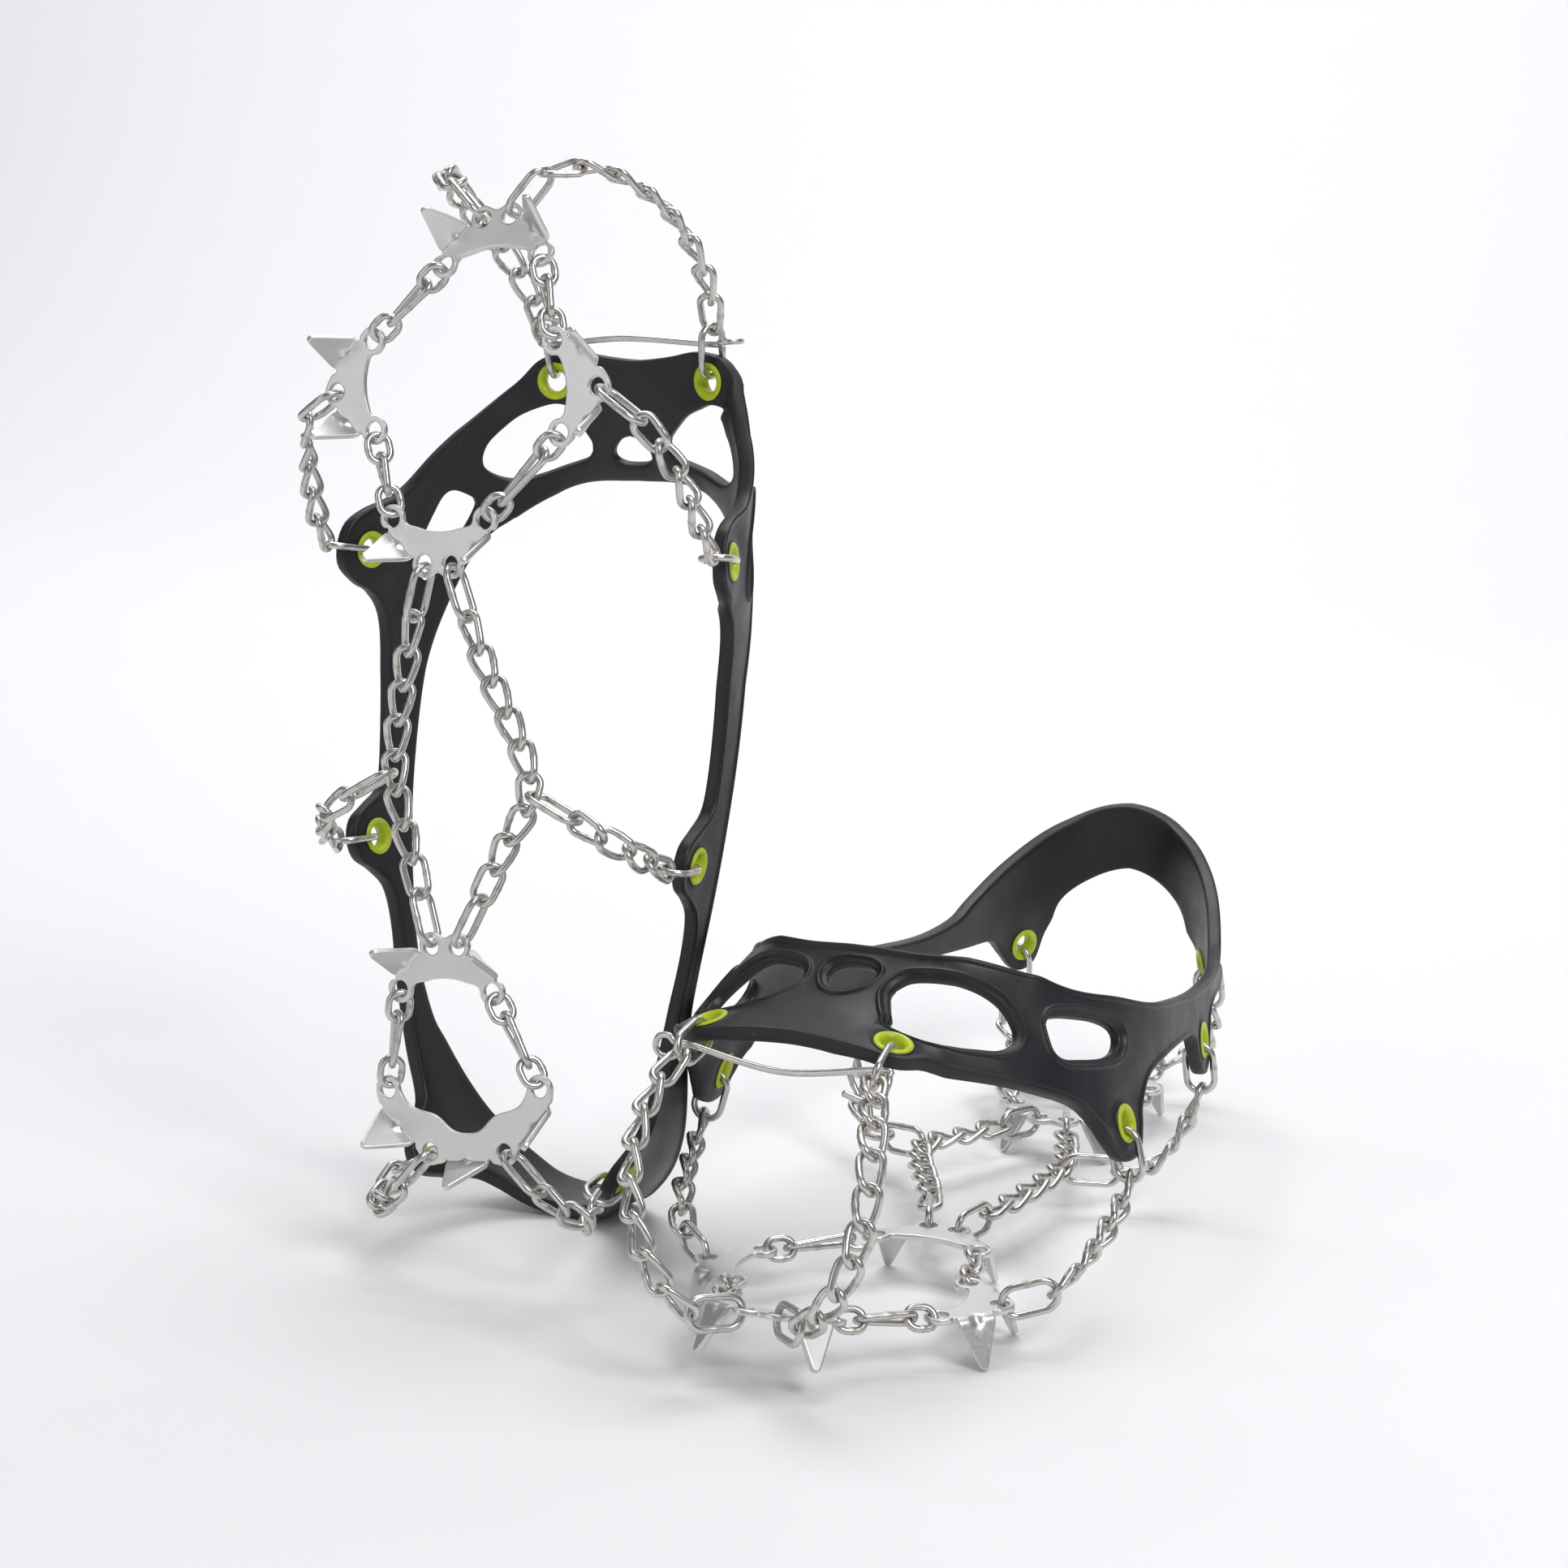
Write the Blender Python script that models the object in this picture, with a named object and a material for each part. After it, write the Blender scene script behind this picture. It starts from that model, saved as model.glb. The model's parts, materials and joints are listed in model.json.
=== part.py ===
"""A pair of shoe ice cleats: elastomer harness, eyelets, bail wire, spike plates and chains.

One cleat lies on its spikes with its toe toward -Y. The other stands upright on its heel beside it.
Local frame of a cleat, in millimetres: x across, toe toward -y, heel toward +y, z up from the plates.
"""

import math

import bmesh
import bpy
import numpy as np
from mathutils import Matrix, Vector
from mathutils.geometry import delaunay_2d_cdt

# --- driving dimensions, mm ---------------------------------------------------------------
WIRE = 2.0              # chain wire diameter
CURB_PITCH = 9.5        # pitch of a twisted link
LONG_PITCH = 15.0       # pitch of a straight-sided end link
TIE_PITCH = 8.0         # pitch of the small links that tie two plates
TIE_ROLL = 16           # how far those links lean over from standing square to the plates, degrees
CURB_HALF = 3.0         # half width of a twisted link, to the wire's centre
LONG_HALF = 4.1         # half width of an end link, to the wire's centre
NECK = 0.12             # half the gap between two links where they bear
BAIL_WIRE = 1.8
BAIL_REACH = 10.6       # from a toe eyelet's centre to the bail
PLATE_T = 1.6
HOLE_R = 2.4            # link holes in the plates
SPIKE_LEN = 12.6        # from the plate's middle to the blunt tip
SPIKE_SPLAY = math.radians(22)
SPIKE_TIP = 1.9
BAND_T = 3.8            # harness thickness
BOSS_T = 3.4            # harness thickness under an eyelet
BORE_R = 3.0            # eyelet bore
BARREL_R = 4.0
FLANGE_R = 5.4
FLANGE_T = 0.7
GAP = 0.3
MM = 0.001              # the scene is in metres
SWEEP_STEP = 6.5        # spacing of points along the harness outline

# Middle line of the harness band, front centre to heel centre: point, outward direction, bend across.
BAND = (
    ((0, -53, 75.5), (0, -0.46, 0.89), -1 / 65),
    ((27, -53, 72), (0.22, -0.40, 0.89), -1 / 70),
    ((47, -42, 62), (0.75, -0.30, 0.58), 1 / 200),
    ((55.5, -18, 55), (0.93, -0.12, 0.35), 1 / 80),
    ((56, 22, 54), (0.98, 0.0, 0.18), 1 / 80),
    ((53, 65, 53), (0.98, 0.05, 0.15), 1 / 90),
    ((44.5, 115, 55), (0.96, 0.25, 0.12), 1 / 120),
    ((34, 152, 60), (0.75, 0.64, 0.12), 1 / 120),
    ((17, 172, 66), (0.4, 0.91, 0.08), 1 / 120),
    ((0, 177, 70), (0, 1.0, 0.06), 1 / 120),
)
# How far the harness leans sideways along its length, as the boot does.
LEAN_Y = (-130, -66, -50, -20, 0, 20, 110, 150, 190)
LEAN_X = (22, 14, 8.5, 3, 1, 0, 1, 3, 4)

BAND_LENGTH = 304.0     # nominal length of half the band, along its middle line

# Edges and openings of half of the band: distance along it, distance across it.
TOP_EDGE = (
    (0, 18.5), (12, 19.5), (26, 23), (43, 26), (58, 26), (69, 24), (94, 18), (118, 10), (148, 5),
    (182, 0), (205, -3), (225, -3), (235, 0), (256, 6), (275, 11), (290, 13), (304, 14),
)
LOW_EDGE = (
    (0, -19.5), (12, -19.8), (21, -20.5), (30, -19.5), (38, -14), (49, -9), (60, -8.5), (68, -10),
    (73, -14), (76, -20), (80, -24.5), (86, -26), (92, -24.5), (96, -19), (98, -13), (103, -8.5),
    (112, -6.5), (130, -6), (148, -7), (156, -9.5), (160, -16), (164, -22), (170, -24), (176, -22),
    (180, -16), (186, -10.5), (198, -9.5), (215, -12), (232, -15), (246, -18), (251, -25),
    (255, -31), (260, -33), (265, -31), (269, -24), (275, -13.5), (288, -9), (304, -8),
)
CENTRE_HOLE = ((0, 12.9), (2.8, 12.7), (5.4, 11.2), (5.9, 9), (4.6, 6), (2.4, 3.8), (0, 3))
BIG_HOLE = (
    (12.6, 8.6), (14.6, 11.6), (19.5, 13.7), (25, 15), (31, 15.8), (36.5, 15.7), (42, 14.4), (47, 11.4),
    (50, 7.4), (49.4, 3.6), (46, 0), (41.5, -2.2), (36.5, -4.6), (31.5, -6), (27, -6.2), (23.2, -4.8),
    (19.2, -1.8), (15.4, 2.2), (12.8, 5.6),
)
SIDE_HOLE = (
    (60.8, 11.6), (63, 14), (71.6, 14.9), (83.4, 13.3), (91.4, 9.8), (93.4, 6.6), (90.6, 3.7), (85.6, 2.6),
    (72.4, 2.7), (66, 2.6), (63, 4.2), (61.6, 7.8),
)
EYELETS = (("toe", 26, -12.8), ("fore", 86, -16), ("rear", 170, -14), ("heel", 260, -23.5))
TOE_TILT = 5            # how far the toe tabs lift from the line of pull, degrees

# Spike plates: outline of one half, link holes, and where each spike folds down (both ends of the fold).
SMALL_HALF = (
    (0, -6.6), (2.2, -8.8), (4.6, -10.2), (7.6, -8.8), (8.6, -5.0), (17.0, 2.4), (19.0, 6.0),
    (17.4, 9.4), (13.2, 9.8), (10.4, 6.2), (5.0, 3.4), (0, 2.8),
)
SMALL_HOLES = ((4.3, -6.0), (-4.3, -6.0), (15.1, 6.0), (-15.1, 6.0))
SMALL_FOLDS = (((8.6, -5.0), (17.0, 2.4)), ((-17.0, 2.4), (-8.6, -5.0)))
SIDE_OUTLINE = (
    (-3.9, -11.4), (-3.0, -14.8), (0, -16.2), (3.4, -15.0), (5.0, -13.4), (13.0, -5.0),
    (15.4, -1.8), (16.4, 1.4), (15.2, 4.2), (13.0, 6.4), (5.0, 13.6), (3.2, 15.4), (0, 16.2),
    (-3.0, 14.8), (-3.9, 11.4), (-1.4, 8.4), (1.5, 7.0), (2.8, 0), (1.5, -7.0), (-1.4, -8.4),
)
SIDE_HOLES = ((0, -12.2), (12.2, 1.2), (0, 12.2))
SIDE_FOLDS = (((5.0, -13.4), (13.0, -5.0)), ((13.0, 6.4), (5.0, 13.6)))
HEEL_HALF = (
    (0, 3.4), (4.4, 2.8), (7.8, 0.1), (12, -2.2), (18.2, -4.0), (20.9, -7.8), (21.6, -11.0), (25.2, -12.7),
    (28.4, -10.6), (29.2, -7.2), (28.0, -3.2), (18.0, 6.8), (16.6, 10.8), (13.6, 12.8), (10.2, 12.2),
    (7.0, 11.6),
)
HEEL_HOLES = ((25.0, -8.6), (-25.0, -8.6), (12.2, 8.6), (-12.2, 8.6))
HEEL_FOLDS = (((28.0, -3.2), (18.0, 6.8)), ((-18.0, 6.8), (-28.0, -3.2)), ((7.0, 11.6), (-7.0, 11.6)))

# The line across each kind of plate that it rocks about: its y.
ROCK_AXIS = {"small": 1.0, "side": 0.0, "heel": -8.6}

# Where each plate lies: centre, turn in its plane, pitch of its toe end, and turn to face its spikes.
PLATES = {
    "toe_plate": ("small", (7.0, -99.6, 5.4), -5.4, 18.0, 0),
    "side_plate_in": ("side", (-28.1, -59.7, 0), -3.0, 0, 1),
    "side_plate_out": ("side", (31.6, -59.7, 0), -6.5, 0, 0),
    "ball_plate": ("small", (-5.6, -17.6, 0), -0.4, 0, 2),
    "arch_plate": ("small", (0.0, 99.0, 0), -4.0, 0, 0),
    "heel_plate": ("heel", (7.7, 140.3, 0), -6.6, 0, 0),
}

# Where each cleat's local origin is. The lying one stands on its spike tips.
FLAT_AT = (60.05, -28.85, SPIKE_LEN)
UPRIGHT_AT = (-61.45, -84.85, 186.2)
# Standing cleat: turn about the vertical, lean back, roll.
UPRIGHT_YAW, UPRIGHT_LEAN, UPRIGHT_ROLL = math.radians(-3.5), math.radians(-7.2), math.radians(-1.8)


# --- small helpers ------------------------------------------------------------------------
def unit(v):
    v = np.asarray(v, float)
    return v / np.linalg.norm(v)


def smooth(points, per=8):
    """Catmull-Rom curve through the points."""
    p = np.asarray(points, float)
    p = np.vstack([2 * p[0] - p[1], p, 2 * p[-1] - p[-2]])
    out = []
    for i in range(1, len(p) - 2):
        a, b, c, d = p[i - 1 : i + 3]
        for f in np.arange(per) / per:
            out.append(
                0.5 * (2 * b + (c - a) * f + (2 * a - 5 * b + 4 * c - d) * f**2
                       + (3 * b - a - 3 * c + d) * f**3)
            )
    return np.array(out + [p[-2]])


def resample(line, step=None, count=None):
    line = np.asarray(line, float)
    run = np.concatenate([[0], np.cumsum(np.linalg.norm(np.diff(line, axis=0), axis=1))])
    count = count or max(2, int(round(run[-1] / step)) + 1)
    at = np.linspace(0, run[-1], count)
    return np.stack([np.interp(at, run, line[:, k]) for k in range(line.shape[1])], 1)


def turn(axis, degrees):
    return np.array(Matrix.Rotation(math.radians(degrees), 3, axis))


def node(name, points, faces, material, root, place=None):
    """A closed solid under a cleat's empty, from points in millimetres."""
    mesh = bpy.data.meshes.new(name)
    points = np.asarray(points, float) * MM
    mesh.from_pydata(points.tolist(), [], [tuple(int(i) for i in f) for f in faces])
    obj = bpy.data.objects.new(name, mesh)
    bpy.context.scene.collection.objects.link(obj)
    obj.parent = root
    if place is not None:
        obj.matrix_basis = place
    bm = bmesh.new()
    bm.from_mesh(mesh)
    bmesh.ops.remove_doubles(bm, verts=bm.verts, dist=1e-3 * MM)
    bmesh.ops.recalc_face_normals(bm, faces=bm.faces)
    bm.to_mesh(mesh)
    bm.free()
    mesh.materials.append(material)
    return obj


def pivot(obj, point):
    """Moves a piece's origin to a point on its joint's axis, given in its own frame in millimetres."""
    shift = Vector(point) * MM
    obj.data.transform(Matrix.Translation(-shift))
    obj.matrix_basis = obj.matrix_basis @ Matrix.Translation(shift)


def boolean(obj, other, operation):
    """Applies one exact Boolean and removes the other object."""
    modifier = obj.modifiers.new("join", "BOOLEAN")
    modifier.operation, modifier.solver, modifier.object = operation, "EXACT", other
    graph = bpy.context.evaluated_depsgraph_get()
    mesh = bpy.data.meshes.new_from_object(obj.evaluated_get(graph))
    obj.modifiers.clear()
    obj.data = mesh
    mesh.name = obj.name
    bpy.data.objects.remove(other)


def principled(name, colour, metallic, rough):
    material = bpy.data.materials.new(name)
    material.use_nodes = True
    shader = material.node_tree.nodes["Principled BSDF"]
    shader.inputs["Base Color"].default_value = (*colour, 1)
    shader.inputs["Metallic"].default_value = metallic
    shader.inputs["Roughness"].default_value = rough
    return material


# --- harness ------------------------------------------------------------------------------
class Band:
    """The half band's surface, from the front centre to the heel centre."""

    def __init__(self):
        flip = np.array([-1.0, 1, 1])
        p = np.array([b[0] for b in BAND], float)
        n = np.array([b[1] for b in BAND], float)
        wide = [np.vstack([a[2] * flip, a[1] * flip, a, a[-2] * flip, a[-3] * flip]) for a in (p, n)]
        line, out = (smooth(a, 24) for a in wide)
        along = np.gradient(line, axis=0)
        along /= np.linalg.norm(along, axis=1)[:, None]
        line, out, along = (a[48:-48] for a in (line, out, along))
        out = out - (out * along).sum(1)[:, None] * along
        out /= np.linalg.norm(out, axis=1)[:, None]
        self.line, self.out, self.across = line, out, np.cross(out, along)
        step = np.linalg.norm(np.diff(line, axis=0), axis=1)
        self.run = np.concatenate([[0], np.cumsum(step)])
        self.run *= BAND_LENGTH / self.run[-1]
        self.bend = np.interp(
            np.linspace(0, len(BAND) - 1, len(line)), range(len(BAND)), [b[2] for b in BAND]
        )

    def at(self, s, v):
        """Point on the boot side's middle surface and its outward direction."""
        b, n, c = (
            np.array([np.interp(s, self.run, a[:, k]) for k in range(3)])
            for a in (self.line, self.out, self.across)
        )
        k = float(np.interp(s, self.run, self.bend))
        point = b + c * math.sin(v * k) / k - n * (1 - math.cos(v * k)) / k
        normal = unit(n * math.cos(v * k) + c * math.sin(v * k))
        if 66 < s < 280 and v < -8:  # the tabs stand off the boot toward the sole's edge
            point = point + normal * 0.009 * (v + 8) ** 2
        return point, normal


BAND_SURFACE = Band()


def eyelet_frame(name, tilt=0):
    """Centre, outward direction and pull direction (down the tab) of an eyelet, half band."""
    _, s, v = next(e for e in EYELETS if e[0] == name)
    centre, normal = BAND_SURFACE.at(s, v)
    below, _ = BAND_SURFACE.at(s, v - 3)
    above, _ = BAND_SURFACE.at(s, v + 3)
    pull = unit(below - above)
    side = unit(np.cross(normal, pull))
    normal = unit(np.cross(pull, side))
    c, d = math.cos(math.radians(tilt)), math.sin(math.radians(tilt))
    return centre, normal * c - pull * d, pull * c + normal * d


TABS = {name: eyelet_frame(name, TOE_TILT if name == "toe" else 0) for name, _, _ in EYELETS}


def lean(point, sign=1):
    return np.array([point[0] * sign + np.interp(point[1], LEAN_Y, LEAN_X), point[1], point[2]])


def sheet_point(s, v, side, sign):
    """A point of the harness: side +1 is its outer face, -1 its face toward the boot."""
    point, normal = BAND_SURFACE.at(s, v)
    point = lean(point + normal * side * BAND_T / 2, sign)
    flip = np.array([sign, 1, 1])
    for name, es, ev in EYELETS:  # the bosses round the eyelets are flat
        away = math.hypot(s - es, v - ev)
        if away < 13:
            centre, up, pull = TABS[name]
            across = np.cross(pull, up)
            across = across * math.copysign(1, np.dot(across, BAND_SURFACE.at(es + 1, ev)[0] - centre))
            rise = up * side * BOSS_T / 2
            flat = lean(centre, sign) + flip * (across * (s - es) - pull * (v - ev) + rise)
            blend = min(1, max(0, (13 - away) / 4.5))
            point = point + (flat - point) * blend
    return point


def inside(loop, x, y):
    """Even-odd test."""
    hit = False
    for (x0, y0), (x1, y1) in zip(loop, np.roll(loop, -1, axis=0)):
        if (y0 > y) != (y1 > y) and x < (x1 - x0) * (y - y0) / (y1 - y0) + x0:
            hit = not hit
    return hit


def fill(outer, holes, extra=()):
    """Triangles of a flat region: its points, its triangles and its boundary edges."""
    loops = [np.asarray(outer, float)] + [np.asarray(h, float) for h in holes]
    points, edges = [], []
    for loop in loops:
        first = len(points)
        points += [tuple(p) for p in loop]
        edges += [(first + i, first + (i + 1) % len(loop)) for i in range(len(loop))]
    flat = np.array(points)
    for x, y in extra:
        clear = np.hypot(flat[:, 0] - x, flat[:, 1] - y).min() > 3.2
        if clear and inside(loops[0], x, y) and not any(inside(h, x, y) for h in loops[1:]):
            points.append((x, y))
    found, _, tris, *_ = delaunay_2d_cdt([Vector(p) for p in points], edges, [], 0, 1e-6)
    assert len(found) == len(points)
    keep = []
    for tri in tris:
        x, y = np.mean([found[i] for i in tri], axis=0)
        if inside(loops[0], x, y) and not any(inside(h, x, y) for h in loops[1:]):
            keep.append(tuple(tri))
    return np.array(points), keep, edges


def half_outline():
    """The half band's outer loop with its two seams, and its openings."""
    low = resample(smooth(LOW_EDGE), SWEEP_STEP)
    top = resample(smooth(TOP_EDGE), SWEEP_STEP * 1.4)[::-1]
    centre = resample(smooth(CENTRE_HOLE), 4)
    front = [(0, v) for v in np.linspace(top[-1][1], centre[0][1], 2)][1:-1]
    outer = list(low) + [tuple(p) for p in top] + front
    outer += [tuple(p) for p in centre]
    holes = []
    for loop in (BIG_HOLE, SIDE_HOLE):
        ring = smooth(loop + loop[:1])
        holes.append(resample(ring, SWEEP_STEP)[:-1])
    turns = np.arange(12) * math.tau / 12
    ring = (BARREL_R + GAP) * np.stack([np.cos(turns), np.sin(turns)], 1)
    holes += [ring + (s, v) for _, s, v in EYELETS]
    return np.array(outer), holes


def harness(name, material, root):
    outer, holes = half_outline()
    extra = [
        (s + 7.7 * math.cos(math.tau * k / 8), v + 7.7 * math.sin(math.tau * k / 8))
        for _, s, v in EYELETS for k in range(8)
    ]
    extra += [(s, v) for s in np.arange(10, BAND_LENGTH - 6, 11) for v in (-15, -5, 5, 15)]
    flat, tris, edges = fill(outer, holes, extra)
    count = len(flat)
    points, faces = [], []
    for sign in (1, -1):
        base = len(points)
        for side in (1, -1):
            points += [sheet_point(s, v, side, sign) for s, v in flat]
        for a, b, c in tris:
            faces.append((base + a, base + b, base + c))
            faces.append((base + count + a, base + count + c, base + count + b))
        for a, b in edges:
            on_seam = [abs(flat[a][0] - x) < 1e-4 and abs(flat[b][0] - x) < 1e-4 for x in (0, BAND_LENGTH)]
            if not any(on_seam):
                faces.append((base + a, base + b, base + count + b, base + count + a))
    return node(name, points, faces, material, root)


def lathe(name, profile, segments, centre, axis, start, material, root):
    """A ring turned from a closed profile of (radius, height)."""
    axis, start = unit(axis), unit(start)
    other = np.cross(axis, start)
    points = [
        centre + axis * h + (start * math.cos(a) + other * math.sin(a)) * r
        for a in np.arange(segments) * math.tau / segments
        for r, h in profile
    ]
    k = len(profile)
    faces = []
    for i in range(segments):
        here, ahead = i * k, (i + 1) % segments * k
        for j in range(k):
            n = (j + 1) % k
            faces.append((here + j, here + n, ahead + n, ahead + j))
    return node(name, points, faces, material, root)


def eyelet(name, kind, sign, material, root):
    centre, normal, pull = TABS[kind]
    flip = np.array([sign, 1, 1])
    centre = lean(centre, sign)
    shoulder = BOSS_T / 2 + GAP - 0.05
    top = shoulder + FLANGE_T
    profile = (
        (BORE_R, 0), (BORE_R + 0.9, -top), (FLANGE_R, -top), (FLANGE_R, -shoulder), (BARREL_R, -shoulder),
        (BARREL_R, shoulder), (FLANGE_R, shoulder), (FLANGE_R, top), (BORE_R + 0.9, top),
    )
    return lathe(name, profile, 8, centre, normal * flip, pull * flip, material, root)


# --- chain --------------------------------------------------------------------------------
LINK_STEPS = 8          # corners round a link
FACET_IN, FACET_OUT = 0.56, 1.12   # inner facet and outer corner of the link's section, from its centre


class Links:
    """A run of closed links. Each one bears on the next through a small neck, so the run is one body."""

    def __init__(self):
        self.points, self.faces = [], []

    def add(self, a, b, up, half, twist, roll):
        """A loop bearing at a and b; its two ends are turned apart by twice the twist."""
        along = unit(b - a)
        side = unit(np.cross(up, along))
        up = np.cross(along, side)
        middle = (a + b) / 2
        reach = np.linalg.norm(b - a) / 2 + FACET_IN + NECK
        first = len(self.points)
        rim = []
        for i in range(LINK_STEPS):
            t = math.tau * (i + 0.5) / LINK_STEPS
            u, w = reach * math.cos(t), half * math.sin(t)
            if not twist:  # straight sides with round ends
                u = half * math.cos(t) * 0.8 + math.copysign(reach - half * 0.74, math.cos(t))
            angle = math.radians(roll + twist * u / reach)
            rim.append(middle + along * u + (side * math.cos(angle) + up * math.sin(angle)) * w)
        for i, centre in enumerate(rim):
            ahead = unit(rim[(i + 1) % LINK_STEPS] - rim[i - 1])
            across = unit(np.cross(ahead, centre - middle))
            inward = np.cross(ahead, across)
            for turned in (30, 150, 270):
                c, d = math.cos(math.radians(turned)), math.sin(math.radians(turned))
                self.points.append(centre + (across * c + inward * d) * FACET_OUT)
        for i in range(LINK_STEPS):
            n = (i + 1) % LINK_STEPS
            for j in range(3):
                k = (j + 1) % 3
                self.faces.append(tuple(first + q for q in (i * 3 + j, n * 3 + j, n * 3 + k, i * 3 + k)))
        base = len(self.faces) - 3 * LINK_STEPS
        # inner facets of the two ends, then of the two sides
        return tuple(base + 3 * i for i in (3, 7, 1, 5))

    def neck(self, one, two):
        """Joins two facets that face each other."""
        a, b = list(self.faces[one]), list(self.faces[two])[::-1]
        gaps = [
            sum(np.linalg.norm(self.points[a[i]] - self.points[b[(i + k) % 4]]) for i in range(4))
            for k in range(4)
        ]
        k = int(np.argmin(gaps))
        b = b[k:] + b[:k]
        for i in range(4):
            n = (i + 1) % 4
            self.faces.append((a[i], a[n], b[n], b[i]))
        self.faces[one] = self.faces[two] = None

    def centre(self, face):
        return np.mean([self.points[i] for i in self.faces[face]], axis=0)

    def run(self, bearing, ups, first, last):
        """Links from one bearing point to the next. Returns every link's facets."""
        made = []
        count = len(bearing) - 1
        for i in range(count):
            straight = (first and i == 0) or (last and i == count - 1)
            made.append(self.add(
                bearing[i], bearing[i + 1], ups[min(i, len(ups) - 1)],
                LONG_HALF if straight else CURB_HALF, 0 if straight else 42, 90 if straight else 0,
            ))
            if i:
                self.neck(made[i - 1][1], made[i][0])
        return made

    def build(self, name, material, root):
        return node(name, self.points, [f for f in self.faces if f], material, root)


def tube(line, radius, sides):
    """A wire along a line, as points and faces."""
    line = np.asarray(line)
    count = len(line)
    ahead = [unit(line[min(i + 1, count - 1)] - line[max(i - 1, 0)]) for i in range(count)]
    helper = np.array([0, 0, 1.0]) if abs(ahead[0][2]) < 0.9 else np.array([1.0, 0, 0])
    frame = unit(np.cross(ahead[0], helper))
    points = []
    for i in range(count):
        frame = unit(frame - ahead[i] * np.dot(frame, ahead[i]))
        other = np.cross(ahead[i], frame)
        for j in range(sides):
            angle = math.tau * j / sides
            points.append(line[i] + (frame * math.cos(angle) + other * math.sin(angle)) * radius * 1.05)
    faces = []
    for i in range(count - 1):
        for j in range(sides):
            k = (j + 1) % sides
            faces.append((i * sides + j, (i + 1) * sides + j, (i + 1) * sides + k, i * sides + k))
    faces.append(tuple(range(sides))[::-1])
    faces.append(tuple((count - 1) * sides + j for j in range(sides)))
    return points, faces


def run_points(path, first, last, pitch=CURB_PITCH):
    """Bearing points along a path: an end link each end where asked, twisted links between."""
    line = smooth(path, 12)
    length = np.linalg.norm(np.diff(line, axis=0), axis=1).sum()
    ends = (LONG_PITCH if first else 0) + (LONG_PITCH if last else 0)
    count = max(1, round((length - ends) / pitch))
    each = (length - ends) / count
    at = [0.0] + ([LONG_PITCH] if first else [])
    at += [at[-1] + each * (i + 1) for i in range(count)]
    if last:
        at.append(length)
    fine = resample(line, count=400)
    return np.stack([np.interp(at, np.linspace(0, length, 400), fine[:, k]) for k in range(3)], 1)


# --- plates -------------------------------------------------------------------------------
def plate_shape(kind):
    if kind == "side":
        return np.array(SIDE_OUTLINE, float), SIDE_HOLES, SIDE_FOLDS
    half, holes, folds = (SMALL_HALF, SMALL_HOLES, SMALL_FOLDS) if kind == "small" else (
        HEEL_HALF, HEEL_HOLES, HEEL_FOLDS)
    right = np.array(half, float)
    left = right[::-1] * (-1, 1)
    left = left[1:-1] if kind == "small" else left[:-1]
    return np.vstack([right, left]), holes, folds


def plate_place(name):
    """Rotation and centre of a plate in the cleat's frame."""
    kind, centre, spin, pitch, facing = PLATES[name]
    rotation = turn("X", -pitch) @ turn("Z", spin)
    if facing == 2:
        rotation = rotation @ turn("Z", 180)
    mirror = np.diag([-1.0, 1, 1]) if facing == 1 else np.eye(3)
    return rotation @ mirror, np.array(centre, float)


def plate_hole(name, index):
    rotation, centre = plate_place(name)
    _, holes, _ = plate_shape(PLATES[name][0])
    return rotation @ np.array([*holes[index], 0.0]) + centre


def blade(a, b, middle):
    """A spike folded down from one side of a plate."""
    a, b = np.array([*a, 0.0]), np.array([*b, 0.0])
    edge = unit(b - a)
    out = np.cross(edge, (0, 0, 1.0))
    if np.dot(out[:2], (a + b)[:2] / 2 - middle) < 0:
        out = -out
    down = np.array([0, 0, -math.cos(SPIKE_SPLAY)]) + out * math.sin(SPIKE_SPLAY)
    face = out * math.cos(SPIKE_SPLAY) + np.array([0, 0, math.sin(SPIKE_SPLAY)])
    reach = SPIKE_LEN / math.cos(SPIKE_SPLAY)
    mid = (a + b) / 2
    back = out * 0.9
    ring = [a - back + (0, 0, 0.5), b - back + (0, 0, 0.5), mid + edge * SPIKE_TIP / 2 + down * reach,
            mid - edge * SPIKE_TIP / 2 + down * reach]
    ring[2] = ring[2] - back
    ring[3] = ring[3] - back
    points = ring + [p + face * PLATE_T for p in ring]
    # the blunt tip is level, so that the pair stands on it
    tip = -SPIKE_LEN
    for i in (2, 3, 6, 7):
        points[i] = points[i] + down * (points[i][2] - tip) / math.cos(SPIKE_SPLAY)
    faces = [(3, 2, 1, 0), (4, 5, 6, 7)] + [(i, (i + 1) % 4, (i + 1) % 4 + 4, i + 4) for i in range(4)]
    return points, faces


def plate(name, label, material, root):
    kind = PLATES[name][0]
    outline, holes, folds = plate_shape(kind)
    turns = np.arange(6) * math.tau / 6 + math.pi / 6
    hexagon = HOLE_R * 1.07 * np.stack([np.cos(turns), np.sin(turns)], 1)
    rings = [hexagon + hole for hole in holes]
    flat, tris, edges = fill(outline, rings)
    count = len(flat)
    points = [(x, y, z) for z in (PLATE_T / 2, -PLATE_T / 2) for x, y in flat]
    faces = tris + [(a + count, c + count, b + count) for a, b, c in tris]
    faces += [(a, b, b + count, a + count) for a, b in edges]
    rotation, centre = plate_place(name)
    place = Matrix(rotation.tolist()).to_4x4()
    place.translation = Vector(centre) * MM
    body = node(label, points, faces, material, root, place)
    for a, b in folds:
        boolean(body, node("spike", *blade(a, b, outline.mean(0)), material, root, place), "UNION")
    pivot(body, (0, ROCK_AXIS[kind], 0))


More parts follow.
